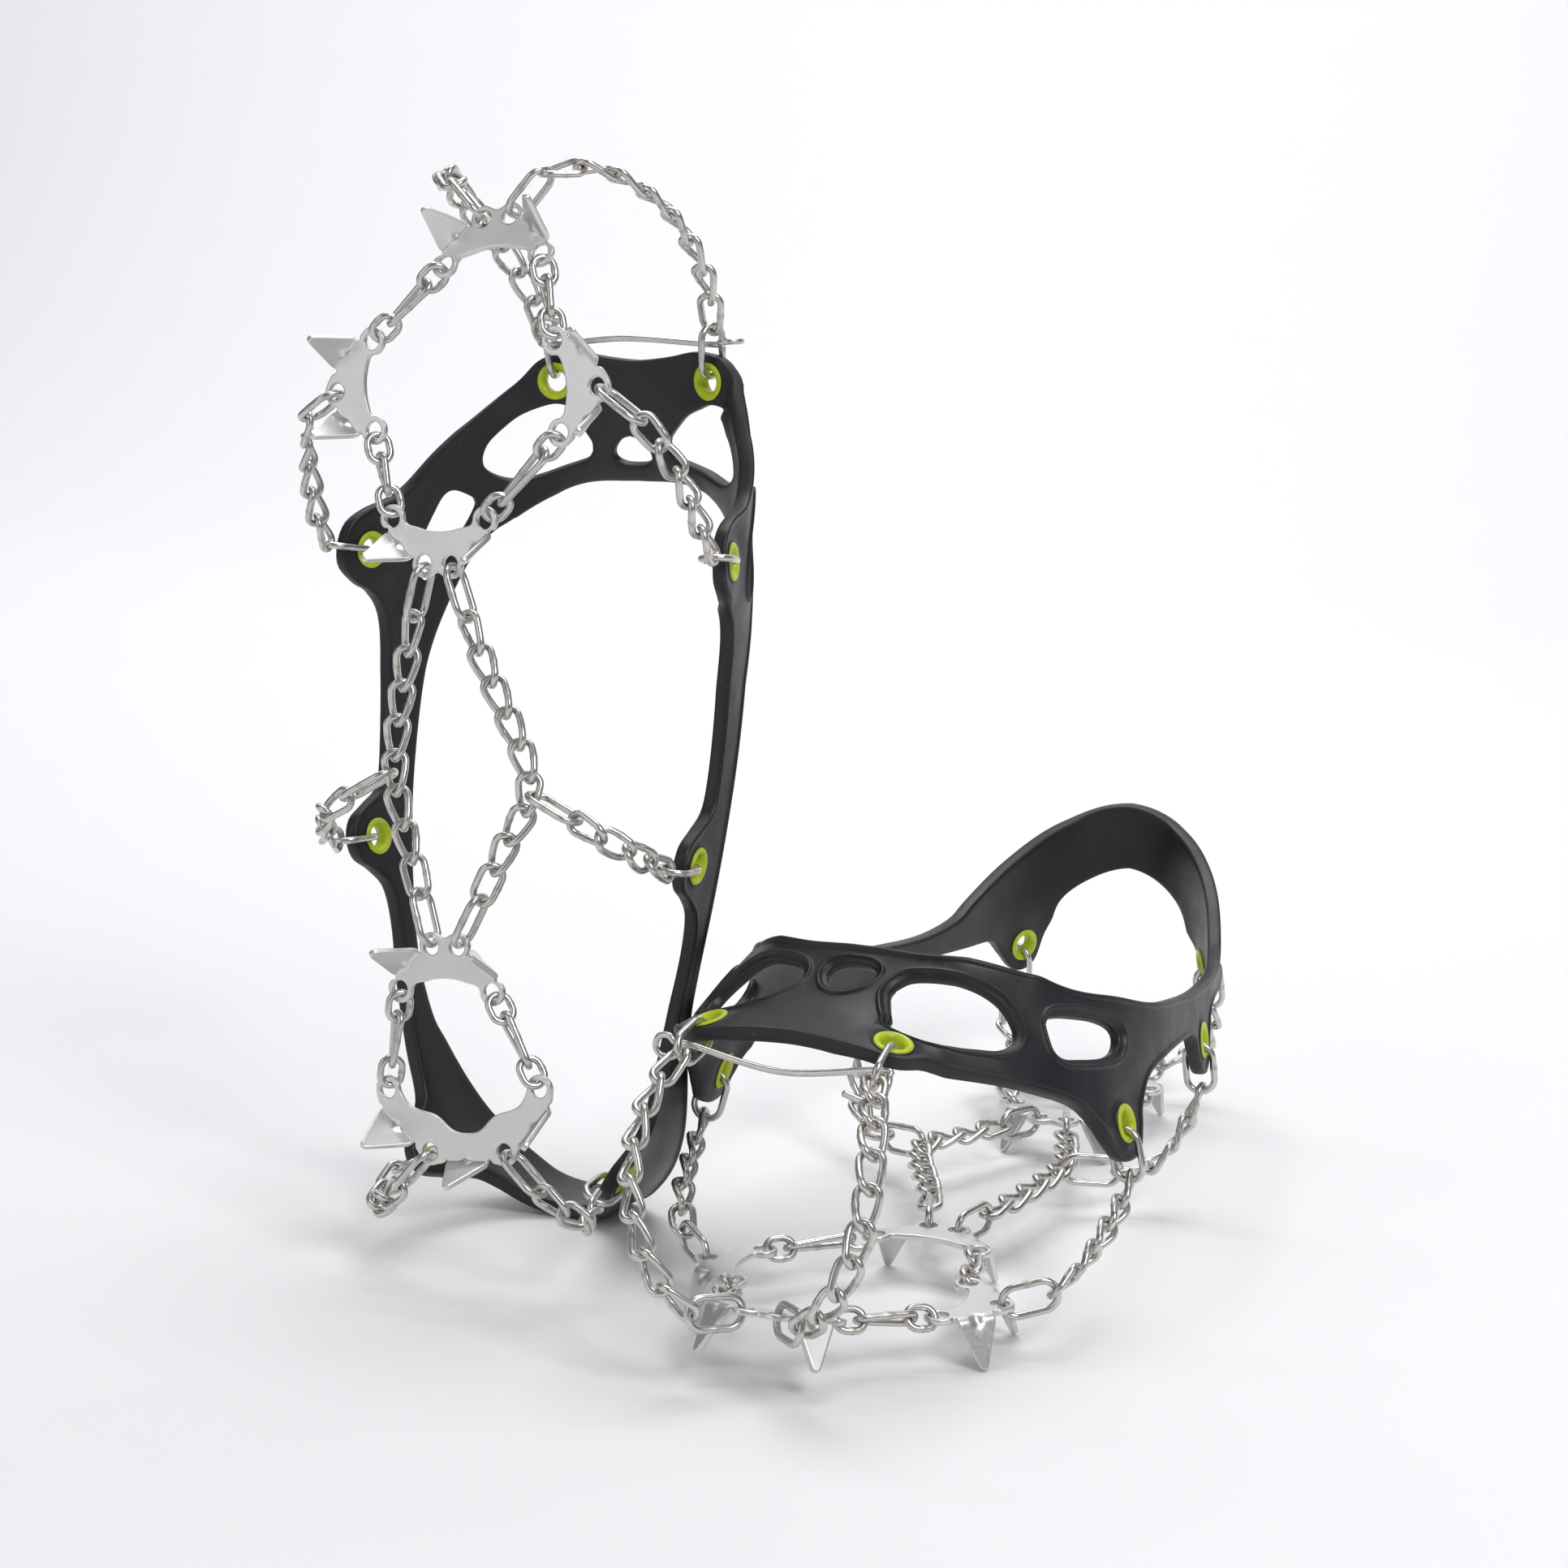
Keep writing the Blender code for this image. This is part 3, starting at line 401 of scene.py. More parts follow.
def sheet(loops, profiles, extra, plane, place, clear, period=0.0):
    """A closed sheet. Each loop has material on its left; its profile goes round the edge, back to front.

    plane maps the sheet's own coordinates to the plane where it is triangulated, and place maps
    (coordinates, height) to space. extra are points to fill the faces with, kept where they are
    further than clear from an edge. period is the length round a sheet that closes on itself.
    """
    def wrap(d):
        if not period:
            return d
        return np.stack([(d[..., 0] + period / 2) % period - period / 2, d[..., 1]], -1)

    flat, heights, faces, rims = [], [], [], []
    for index, (loop, profile) in enumerate(zip(loops, profiles)):
        ahead = units(wrap(np.roll(loop, -1, 0) - np.roll(loop, 1, 0)))
        left = np.stack([-ahead[:, 1], ahead[:, 0]], 1)
        room = np.full(len(loop), NO_NEIGHBOUR)
        for k, other in enumerate(loops):
            if k != index:
                gap = np.linalg.norm(wrap(loop[:, None] - other[None]), axis=2).min(axis=1)
                room = np.minimum(room, gap)
        widest = max(d for d, _ in profile)
        scale = np.minimum(1, EDGE_SHARE * room / widest)
        for _ in range(EDGE_EASE):
            scale = np.minimum(scale, (np.roll(scale, 1) + scale + np.roll(scale, -1)) / 3)
        first, count = len(flat), len(loop)
        for d, h in profile:
            for i in range(count):
                flat.append(loop[i] + left[i] * d * scale[i])
                heights.append(h)
        rings = len(profile)
        for k in range(rings - 1):
            for i in range(count):
                j = (i + 1) % count
                faces.append((first + k * count + i, first + k * count + j,
                              first + (k + 1) * count + j, first + (k + 1) * count + i))
        rims.append((first, first + (rings - 1) * count, count, loop + left * (widest * scale)[:, None]))
    # the two faces share one triangulation
    points, edges, back_of, front_of = [], [], [], []
    rings = [plane(rim[3]) for rim in rims]
    for (first, last, count, _), ring in zip(rims, rings):
        base = len(points)
        points += [tuple(p) for p in ring]
        edges += [(base + i, base + (i + 1) % count) for i in range(count)]
        back_of += [first + i for i in range(count)]
        front_of += [last + i for i in range(count)]
    border = np.array(points)
    extra = np.asarray(extra, float)
    mapped = plane(extra)
    hits = sum(in_loop(ring, mapped).astype(int) for ring in rings)
    keep = hits % 2 == 1
    for start in range(0, len(mapped), BLOCK):
        block = slice(start, start + BLOCK)
        gap = np.linalg.norm(mapped[block, None] - border[None], axis=2).min(axis=1)
        keep[block] &= gap > clear
    half = abs(profiles[0][0][1])
    for p, q in zip(extra[keep], mapped[keep]):
        points.append(tuple(q))
        for h, store in ((-half, back_of), (half, front_of)):
            store.append(len(flat))
            flat.append(p)
            heights.append(h)
    found, _, tris, *_ = delaunay_2d_cdt([Vector(p) for p in points], edges, [], 0, SAME_POINT)
    assert len(found) == len(points), (len(found), len(points))
    middle = np.array([np.mean([found[i] for i in t], axis=0) for t in tris])
    kept = sum(in_loop(ring, middle).astype(int) for ring in rings) % 2 == 1
    for t, good in zip(tris, kept):
        if good:
            a, b, c = t
            faces.append((front_of[a], front_of[b], front_of[c]))
            faces.append((back_of[a], back_of[c], back_of[b]))
    return [place(p[0], p[1], h) for p, h in zip(flat, heights)], faces


# --- harness --------------------------------------------------------
def ring_of(centre, radius, count):
    """A clockwise ring of points: the edge of a hole."""
    turns = -np.arange(count) * math.tau / count
    return np.stack([centre[0] + radius * np.cos(turns), centre[1] + radius * np.sin(turns)], 1)


def both_halves(line):
    """A closed loop from one half's line and its mirror image."""
    return np.vstack([line[:-1], (line[1:] * (-1, 1))[::-1]])


def oriented(loop, clockwise):
    """The loop, run clockwise or the other way."""
    area = np.sum(loop[:, 0] * np.roll(loop[:, 1], -1) - np.roll(loop[:, 0], -1) * loop[:, 1])
    return loop[::-1] if (area < 0) != clockwise else loop


LIP = 0.55  # raised lip along the outer edges
RIDGE = 0.7  # raised frame round the openings
EDGE_PROFILE = edge_profile(
    BAND_T / 2,
    ((2.6, 0), (1.0, 0), (0.45, 0.16), (0.14, 0.5), (0, 1.1)),
    ((0, -0.9), (0.1, -0.2), (0.32, LIP * 0.7), (0.7, LIP), (1.15, LIP), (1.55, LIP * 0.7), (1.8, 0.1),
     (2.1, 0), (2.6, 0)),
)
HOLE_PROFILE = edge_profile(
    BAND_T / 2,
    ((3.3, 0), (1.0, 0), (0.4, 0.2), (0.08, 0.6), (0, 1.0)),
    ((0, -1.3), (0.14, -0.9), (0.45, -0.65), (1.1, -0.4), (1.6, -0.1), (1.85, RIDGE * 0.6), (2.1, RIDGE),
     (2.5, RIDGE), (2.75, RIDGE * 0.55), (2.95, 0.06), (3.3, 0)),
)
SEAT_PROFILE = edge_profile(
    BAND_T / 2,
    ((2.0, 0), (1.5, 0), (0.25, 0), (0, 0.25)),
    ((0, -0.25), (0.25, 0), (1.2, 0), (1.35, 0.1), (1.55, 0.4), (1.75, 0.4), (1.9, 0.1), (2.0, 0)),
)
SEAT_GAP, SEAT_SIDES = 0.12, 28  # round an eyelet's barrel
LOW_STEP, TOP_STEP, CENTRE_STEP, HOLE_STEP = 1.7, 2.2, 0.9, 1.2  # between points along each edge
FILL_ALONG, FILL_ACROSS, FILL_CLEAR = 3.3, 3.1, 1.7  # points between the edges
FILL_HALF, FILL_LOW, FILL_HIGH = 302, -33, 28  # the stretch that they cover


def harness(name, material, matrix):
    """The moulded sling: one sheet with lips, framed openings and a seat for each eyelet."""
    low = both_halves(resample(smooth(LOW_EDGE), LOW_STEP))
    top = both_halves(resample(smooth(TOP_EDGE), TOP_STEP))[::-1]
    centre = both_halves(smooth(CENTRE_HOLE))
    centre = resample(np.vstack([centre, centre[:1]]), CENTRE_STEP)[:-1]
    loops, profiles = [low, top, oriented(centre, True)], [EDGE_PROFILE, EDGE_PROFILE, HOLE_PROFILE]
    for shape in (BIG_HOLE, SIDE_HOLE):
        loop = resample(smooth(shape + shape[:1]), HOLE_STEP)[:-1]
        for sign in (1, -1):
            loops.append(oriented(loop * (sign, 1), True))
            profiles.append(HOLE_PROFILE)
    for _, s, v in EYELETS:
        for sign in (1, -1):
            loops.append(ring_of((s * sign, v), BARREL_R + SEAT_GAP, SEAT_SIDES))
            profiles.append(SEAT_PROFILE)
    radius = BAND_LENGTH / math.pi

    def plane(points):
        angle, out = points[:, 0] / radius, radius - points[:, 1]
        return np.stack([np.cos(angle) * out, np.sin(angle) * out], 1)

    extra = [
        (s, v) for s in np.arange(-FILL_HALF, FILL_HALF + 1, FILL_ALONG)
        for v in np.arange(FILL_LOW, FILL_HIGH, FILL_ACROSS)
    ]
    points, faces = sheet(loops, profiles, extra, plane, band_point, FILL_CLEAR, 2 * BAND_LENGTH)
    piece(name, points, faces, material, matrix)


def lathe(name, profile, segments, centre, axis, start, material, matrix):
    """A turned ring: the closed profile is (radius, height), and start is the direction of its first copy."""
    axis, start = unit(axis), unit(start)
    other = np.cross(axis, start)
    points = [
        centre + axis * h + (start * math.cos(a) + other * math.sin(a)) * r
        for a in np.arange(segments) * math.tau / segments
        for r, h in profile
    ]
    k = len(profile)
    faces = []
    for i in range(segments):
        n = (i + 1) % segments
        faces += [(i * k + j, i * k + (j + 1) % k, n * k + (j + 1) % k, n * k + j) for j in range(k)]
    piece(name, points, faces, material, matrix)


SHOULDER_GAP, FLANGE_T = 0.04, 0.8  # a flange over the harness, and its thickness
EYELET_SIDES = 44


def eyelet(name, kind, sign, material, matrix):
    """A flanged insert, the same on both faces of the harness."""
    centre, normal, pull = on_side(TABS, kind, sign)
    shoulder = BOSS_T / 2 + SHOULDER_GAP
    top = shoulder + FLANGE_T
    half = [
        (BORE_R, 0), (BORE_R + 0.02, 0.7), (BORE_R + 0.12, 1.3), (BORE_R + 0.4, 1.85),
        (BORE_R + 0.85, top - 0.25), (BORE_R + 1.2, top - 0.04), (BORE_R + 1.6, top),
        (FLANGE_R - 0.5, top - 0.06), (FLANGE_R - 0.16, top - 0.26), (FLANGE_R, shoulder + 0.3),
        (FLANGE_R - 0.08, shoulder), (BARREL_R, shoulder), (BARREL_R, 0.9),
    ]
    profile = half + [(r, -h) for r, h in half[:0:-1]]
    lathe(name, profile, EYELET_SIDES, centre, normal, pull, material, matrix)


# --- chain ----------------------------------------------------------
LINK_STEPS, WIRE_SIDES = 56, 12
BEAR_GAP = 0.06  # between the wires of two links where they bear
CURB_TWIST = 42  # degrees that each end of a twisted link is turned
SEAM_WIDE, SEAM_SWELL = 1.1, 0.1  # the weld: its length in steps, and its swelling of the wire
rng = np.random.default_rng(7)


class Chain:
    """Separate closed wire links, gathered into one piece."""

    def __init__(self):
        self.points, self.faces, self.marks = [], [], []

    def link(self, a, b, up, half, twists, roll):
        """A link bearing at a and b. twists are the turns of its two ends, and roll its own, in degrees."""
        along = unit(b - a)
        side = unit(np.cross(up, along))
        up = np.cross(along, side)
        middle = (a + b) / 2
        radius = WIRE / 2
        reach = np.linalg.norm(b - a) / 2 + radius + BEAR_GAP
        straight = max(0.0, reach - half)
        bow = math.pi * half / 2
        total = 4 * (straight + bow)
        rim = []
        for i in range(LINK_STEPS):
            d = total * i / LINK_STEPS
            quarter, rest = divmod(d + straight, 2 * (straight + bow))
            # from the middle of one long side: side, half turn, side, half turn
            if rest < 2 * straight:
                u, w = rest - straight, half
            else:
                angle = (rest - 2 * straight) / half
                u, w = straight + half * math.sin(angle), half * math.cos(angle)
            if int(quarter) % 2:
                u, w = -u, -w
            share = (u / reach + 1) / 2
            angle = math.radians(roll + twists[0] + (twists[1] - twists[0]) * share)
            rim.append(middle + along * u + (side * math.cos(angle) + up * math.sin(angle)) * w)
        rim = np.array(rim)
        ahead = units(np.roll(rim, -1, 0) - np.roll(rim, 1, 0))
        first = len(self.points)
        seam = int(rng.integers(2)) * (LINK_STEPS // 2)
        axis = np.cross(side * math.cos(math.radians(roll)) + up * math.sin(math.radians(roll)), along)
        for i in range(LINK_STEPS):
            across = unit(axis - ahead[i] * np.dot(axis, ahead[i]))
            inward = np.cross(ahead[i], across)
            away = min((i - seam) % LINK_STEPS, (seam - i) % LINK_STEPS)
            mark = math.exp(-(away / SEAM_WIDE) ** 2)
            for j in range(WIRE_SIDES):
                t = math.tau * j / WIRE_SIDES
                spoke = across * math.cos(t) + inward * math.sin(t)
                self.points.append(rim[i] + spoke * radius * (1 + SEAM_SWELL * mark))
                self.marks.append(mark)
        for i in range(LINK_STEPS):
            here, there = first + i * WIRE_SIDES, first + (i + 1) % LINK_STEPS * WIRE_SIDES
            for j in range(WIRE_SIDES):
                k = (j + 1) % WIRE_SIDES
                self.faces.append((here + j, there + j, there + k, here + k))
        return middle, side

    def run(self, bearing, ups, first, last):
        """Links from one bearing point to the next, the two end ones long and on edge.

        first and last are how far the end links are pulled in. Returns each link's middle and side.
        """
        count = len(bearing) - 1
        made = []
        for i in range(count):
            a, b = bearing[i], bearing[i + 1]
            ahead = unit(b - a)
            up = ups[min(i, len(ups) - 1)]
            if i == 0:
                a = a + ahead * first
            if i == count - 1:
                b = b - ahead * last
            if i in (0, count - 1):
                made.append(self.link(a, b, up, LONG_HALF, (0, 0), 90))
                continue
            twists = (0 if i == 1 else -CURB_TWIST, 0 if i == count - 2 else CURB_TWIST)
            made.append(self.link(a, b, up, CURB_HALF, twists, 0))
        return made

    def build(self, name, material, matrix):
        piece(name, self.points, self.faces, material, matrix, self.marks)


END_SHIFT, END_SIZE = 0.22, 0.6  # the smaller ring that rounds off a wire's cut end


def tube(line, radius, sides):
    """A wire along a line, with rounded ends."""
    line = np.asarray(line)
    count = len(line)
    ahead = [unit(line[min(i + 1, count - 1)] - line[max(i - 1, 0)]) for i in range(count)]
    helper = np.array([0, 0, 1.0]) if abs(ahead[0][2]) < 0.9 else np.array([1.0, 0, 0])
    across = unit(np.cross(ahead[0], helper))
    points = []
    for i in range(count):
        across = unit(across - ahead[i] * np.dot(across, ahead[i]))
        other = np.cross(ahead[i], across)
        rings = [(0, 1)]
        if i == 0:
            rings = [(-END_SHIFT, END_SIZE), (0, 1)]
        if i == count - 1:
            rings = [(0, 1), (END_SHIFT, END_SIZE)]
        for shift, size in rings:
            for j in range(sides):
                angle = math.tau * j / sides
                spoke = across * math.cos(angle) + other * math.sin(angle)
                points.append(line[i] + ahead[i] * shift + spoke * radius * size)
    count = len(points) // sides
    faces = []
    for i in range(count - 1):
        for j in range(sides):
            k = (j + 1) % sides
            faces.append((i * sides + j, (i + 1) * sides + j, (i + 1) * sides + k, i * sides + k))
    faces.append(tuple(range(sides))[::-1])
    faces.append(tuple((count - 1) * sides + j for j in range(sides)))
    return points, faces


# --- plates ---------------------------------------------------------
BEND_R = 1.7  # middle radius of a spike's fold
BEND_ANGLE = math.pi / 2 - SPIKE_SPLAY
BEND_RUN = BEND_R * BEND_ANGLE
BEND_TANGENT = BEND_R * math.tan(BEND_ANGLE / 2)
FOLD_SHIFT = 0.165  # where the flat and the spike would meet, past the fold line
BEND_FROM = FOLD_SHIFT - BEND_TANGENT  # where the bend starts, past the fold line
TIP_TRIM = 0.2  # a leaning tip's outer corner reaches lower than its middle
# the flat flap's length, past the fold line
FLAP = BEND_FROM + BEND_RUN + SPIKE_LEN / math.cos(SPIKE_SPLAY) - BEND_TANGENT - TIP_TRIM
DART_AT, DART_WIDE, DART_LONG, DART_DEEP = 0.5, 1.1, 1.35, 1.1  # the dimple pressed into a fold
PLATE_PROFILE = edge_profile(
    PLATE_T / 2,
    ((0.7, 0), (0.45, 0), (0.16, 0.05), (0.03, 0.2), (0, 0.42)),
    ((0, -0.5), (0.05, -0.24), (0.2, -0.05), (0.45, 0), (0.7, 0)),
)
PLATE_STEP, HOLE_SIDES = 0.55, 26
PLATE_FILL, PLATE_CLEAR, ROW_FILL = 1.3, 0.55, 0.75  # points between the edges, and in the bends' rows
BEND_ROWS = (-2.0, -1.3, -0.85, -0.4, 0.05, 0.5, 0.95, 1.5, 2.3, 3.2)  # distances past the fold line


def fold_frames(folds):
    """Middle, direction along, direction outward and half width of each fold line."""
    frames = []
    for a, b in folds:
        edge = unit(b - a)
        frames.append(((a + b) / 2, edge, np.array([edge[1], -edge[0]]), np.linalg.norm(b - a) / 2))
    return frames


def flap_outline(middle, edge, out, half):
    """The tapered flap that becomes a spike, in the flat."""
    tip = SPIKE_TIP / 2
    flap = [
        middle - edge * (half + 0.25) + out * (BEND_FROM - 0.3),
        middle - edge * (half - 0.35) + out * (BEND_FROM - 0.1),
        middle - edge * (half - 0.5) + out * 1.6,
        middle - edge * (tip + 0.25) + out * (FLAP - 0.7),
        middle - edge * (tip - 0.25) + out * FLAP,
    ]
    return flap + [2 * (middle + out * np.dot(q - middle, out)) - q for q in flap[::-1]]


def blank_outline(outline, folds, frames):
    """The flat blank: the outline with a flap in place of each fold line."""
    start = next(i for i in range(len(outline)) if np.allclose(outline[i], folds[0][1]))
    ring = np.roll(outline, -start, axis=0)
    fold_at = {tuple(np.round(a, 3)): k for k, (a, _) in enumerate(folds)}
    loop, run = [], [ring[0]]
    for p in ring[1:]:
        run.append(p)
        k = fold_at.get(tuple(np.round(p, 3)))
        if k is None:
            continue
        line = smooth(run, 10)
        ends = [np.linalg.norm(line - run[end], axis=1) for end in (0, -1)]
        loop += list(line[np.minimum(*ends) > 1.0]) + flap_outline(*frames[k])
        run = [folds[k][1]]
    loop = resample(np.array(loop + loop[:1]), PLATE_STEP)[:-1]
    for _ in range(2):  # eases the corners
        loop = (np.roll(loop, 1, 0) + 2 * loop + np.roll(loop, -1, 0)) / 4
    return oriented(loop, False)


def blank_filling(loop, frames):
    """Points inside the blank: a grid, and rows that follow each bend."""
    low, high = loop.min(0), loop.max(0)
    grid = np.array([
        (x, y) for x in np.arange(low[0], high[0], PLATE_FILL) for y in np.arange(low[1], high[1], PLATE_FILL)
    ])
    spare = np.ones(len(grid), bool)
    rows = []
    for middle, edge, out, half in frames:
        aside, past = (grid - middle) @ edge, (grid - middle) @ out
        spare &= ~((abs(aside) < half + 0.6) & (past > BEND_FROM - 2.2) & (past < 4.2))
        for row in BEND_ROWS:
            rows += [middle + edge * c + out * row for c in np.arange(-half + 0.6, half - 0.3, ROW_FILL)]
    return np.vstack([grid[spare], rows])


def bent(x, y, h, frames):
    """Where a point of the flat blank, at height h over its middle, is after folding."""
    for middle, edge, out, half in frames:
        aside, past = np.dot((x, y) - middle, edge), np.dot((x, y) - middle, out)
        if past <= BEND_FROM - 2.5 or abs(aside) > half + 0.05 or past > FLAP + 1:
            continue
        dart = math.exp(-(aside / DART_WIDE) ** 2) * math.exp(-((past - DART_AT) / DART_LONG) ** 2)
        out3 = np.array([*out, 0.0])
        over = max(0.0, past - BEND_FROM)
        angle = min(over / BEND_R, BEND_ANGLE)
        base = np.array([*(middle + edge * aside + out * min(past, BEND_FROM)), 0.0])
        base = base + out3 * BEND_R * math.sin(angle) - np.array([0, 0, BEND_R * (1 - math.cos(angle))])
        if over > BEND_RUN:
            down = out3 * math.cos(BEND_ANGLE) - np.array([0, 0, math.sin(BEND_ANGLE)])
            base = base + down * (over - BEND_RUN)
        normal = out3 * math.sin(angle) + np.array([0, 0, math.cos(angle)])
        return base + normal * (h - dart * DART_DEEP)
    return np.array([x, y, h])


def plate(name, label, material, matrix):
    """A plate stamped from sheet, its spikes folded down out of it."""
    outline, holes, folds = plate_shape(PLATES[name][0])
    folds = [(np.array(a, float), np.array(b, float)) for a, b in folds]
    frames = fold_frames(folds)
    loop = blank_outline(outline, folds, frames)
    loops = [loop] + [ring_of(h, HOLE_R, HOLE_SIDES) for h in holes]
    points, faces = sheet(
        loops, [PLATE_PROFILE] * len(loops), blank_filling(loop, frames), lambda points: points,
        lambda x, y, h: bent(x, y, h, frames), PLATE_CLEAR,
    )
    rotation, centre = plate_place(name)
    points = np.array(points) @ rotation.T + centre
    piece(label, points, faces, material, matrix, sharp=50)


# --- materials ------------------------------------------------------
def new_material(name):
    """A material, its node tree and its shader."""
    made = bpy.data.materials.new(name)
    made.use_nodes = True
    tree = made.node_tree
    return made, tree, tree.nodes["Principled BSDF"]


def noise(tree, scale, detail=4.0, rough=0.55, stretch=None):
    """Noise over the object's own coordinates, in metres; stretch scales it along each axis."""
    out = tree.nodes.new("ShaderNodeTexCoord").outputs["Object"]
    if stretch:
        mapping = tree.nodes.new("ShaderNodeMapping")
        mapping.inputs["Scale"].default_value = stretch
        tree.links.new(out, mapping.inputs["Vector"])
        out = mapping.outputs["Vector"]
    node = tree.nodes.new("ShaderNodeTexNoise")
    for key, value in (("Scale", scale), ("Detail", detail), ("Roughness", rough)):
        node.inputs[key].default_value = value
    tree.links.new(out, node.inputs["Vector"])
    return node.outputs["Fac"]


def ramp(tree, source, stops):
    """Colours by value: each stop is (value, colour)."""
    node = tree.nodes.new("ShaderNodeValToRGB")
    while len(node.color_ramp.elements) < len(stops):
        node.color_ramp.elements.new(0.5)
    for element, (at, colour) in zip(node.color_ramp.elements, stops):
        element.position = at
        element.color = (*colour, 1)
    tree.links.new(source, node.inputs["Fac"])
    return node.outputs["Color"]


def span(tree, source, low, high, from_low=0.3, from_high=0.7):
    """The source's range, spread over low to high."""
    node = tree.nodes.new("ShaderNodeMapRange")
    for key, value in (("From Min", from_low), ("From Max", from_high), ("To Min", low), ("To Max", high)):
        node.inputs[key].default_value = value
    tree.links.new(source, node.inputs["Value"])
    return node.outputs["Result"]


def maths(tree, operation, a, b):
    node = tree.nodes.new("ShaderNodeMath")
    node.operation = operation
    for socket, value in zip(node.inputs, (a, b)):
        if isinstance(value, (int, float)):
            socket.default_value = value
        else:
            tree.links.new(value, socket)
    return node.outputs["Value"]


def blend_colour(tree, factor, share, base, colour):
    """The base's colour, turned by a share of factor towards another."""
    factor = maths(tree, "MULTIPLY", factor, share)
    node = tree.nodes.new("ShaderNodeMix")
    node.data_type = "RGBA"
    base_socket, colour_socket, result = node.inputs[6], node.inputs[7], node.outputs[2]
    tree.links.new(factor, node.inputs["Factor"])
    tree.links.new(base, base_socket)
    colour_socket.default_value = (*colour, 1)
    return result


def bump(tree, shader, height, strength, distance):
    node = tree.nodes.new("ShaderNodeBump")
    node.inputs["Strength"].default_value = strength
    node.inputs["Distance"].default_value = distance
    tree.links.new(height, node.inputs["Height"])
    tree.links.new(node.outputs["Normal"], shader.inputs["Normal"])


def elastomer():
    """Moulded black elastomer: charcoal, satin, with mould grain, faint scuffs and dust."""
    made, tree, shader = new_material("elastomer")
    clouds = noise(tree, 28, 5)
    base = ramp(tree, clouds, ((0.3, (0.0085, 0.009, 0.0115)), (0.7, (0.0145, 0.015, 0.0185))))
    scuff = span(tree, noise(tree, 60, 8, 0.7, (1, 0.18, 1)), 0, 1, 0.62, 0.78)
    base = blend_colour(tree, scuff, 0.35, base, (0.075, 0.075, 0.08))
    dust = span(tree, noise(tree, 1100, 2, 0.5), 0, 1, 0.735, 0.79)
    base = blend_colour(tree, dust, 0.5, base, (0.24, 0.235, 0.23))
    tree.links.new(base, shader.inputs["Base Color"])
    rough = span(tree, noise(tree, 90, 6), 0.38, 0.50)
    rough = maths(tree, "ADD", rough, maths(tree, "MULTIPLY", scuff, 0.12))
    tree.links.new(rough, shader.inputs["Roughness"])
    grain = noise(tree, 2600, 3, 0.6)
    waves = noise(tree, 160, 3, 0.5)
    height = maths(tree, "ADD", maths(tree, "MULTIPLY", grain, 0.25), waves)
    bump(tree, shader, height, 0.22, 0.0004)
    shader.inputs["Specular IOR Level"].default_value = 0.45
    return made


def lime_plastic():
    """Moulded yellow-green plastic, slightly cloudy and a little translucent."""
    made, tree, shader = new_material("lime")
    base = ramp(tree, noise(tree, 220, 4), ((0.3, (0.42, 0.52, 0.008)), (0.7, (0.56, 0.66, 0.02))))
    tree.links.new(base, shader.inputs["Base Color"])
    tree.links.new(span(tree, noise(tree, 700, 5), 0.28, 0.46), shader.inputs["Roughness"])
    bump(tree, shader, noise(tree, 1500, 4), 0.12, 0.0003)
    shader.inputs["Subsurface Weight"].default_value = 0.08
    shader.inputs["Subsurface Radius"].default_value = (0.001, 0.001, 0.0003)
    shader.inputs["Subsurface Scale"].default_value = 0.8
    return made


def plate_steel():
    """Stamped stainless sheet, tumbled: fine cloudy satin with short scratches."""
    made, tree, shader = new_material("plate_steel")
    clouds = noise(tree, 140, 4, 0.5)
    speck = noise(tree, 2400, 3, 0.6)
    base = ramp(tree, clouds, ((0.25, (0.70, 0.69, 0.675)), (0.75, (0.735, 0.725, 0.71))))
    pits = span(tree, speck, 0, 1, 0.66, 0.8)
    base = blend_colour(tree, pits, 0.3, base, (0.40, 0.385, 0.37))
    tree.links.new(base, shader.inputs["Base Color"])
    shader.inputs["Metallic"].default_value = 1.0
    scratch = noise(tree, 1500, 4, 0.6, (1, 0.08, 1))
    cross = noise(tree, 1700, 3, 0.6, (0.07, 1, 1))
    rough = span(tree, noise(tree, 1400, 4, 0.6), 0.34, 0.43)
    rough = maths(tree, "ADD", rough, span(tree, scratch, 0, 0.10, 0.55, 0.75))
    tree.links.new(rough, shader.inputs["Roughness"])
    bump(tree, shader, maths(tree, "ADD", scratch, cross), 0.10, 0.00006)
    return made


def wire_steel():
    """Drawn stainless wire, tumbled bright, duller and slightly straw coloured at the weld."""
    made, tree, shader = new_material("wire_steel")
    clouds = noise(tree, 260, 5, 0.6)
    base = ramp(tree, clouds, ((0.25, (0.56, 0.54, 0.51)), (0.75, (0.67, 0.65, 0.62))))
    weld = tree.nodes.new("ShaderNodeAttribute")
    weld.attribute_name = "mark"
    weld = weld.outputs["Fac"]
    base = blend_colour(tree, weld, 0.55, base, (0.42, 0.38, 0.32))
    tree.links.new(base, shader.inputs["Base Color"])
    shader.inputs["Metallic"].default_value = 1.0
    rough = span(tree, noise(tree, 500, 6, 0.6), 0.24, 0.34)
    rough = maths(tree, "ADD", rough, maths(tree, "MULTIPLY", weld, 0.18))
    tree.links.new(rough, shader.inputs["Roughness"])
    bump(tree, shader, noise(tree, 900, 3, 0.5), 0.05, 0.0001)
    return made


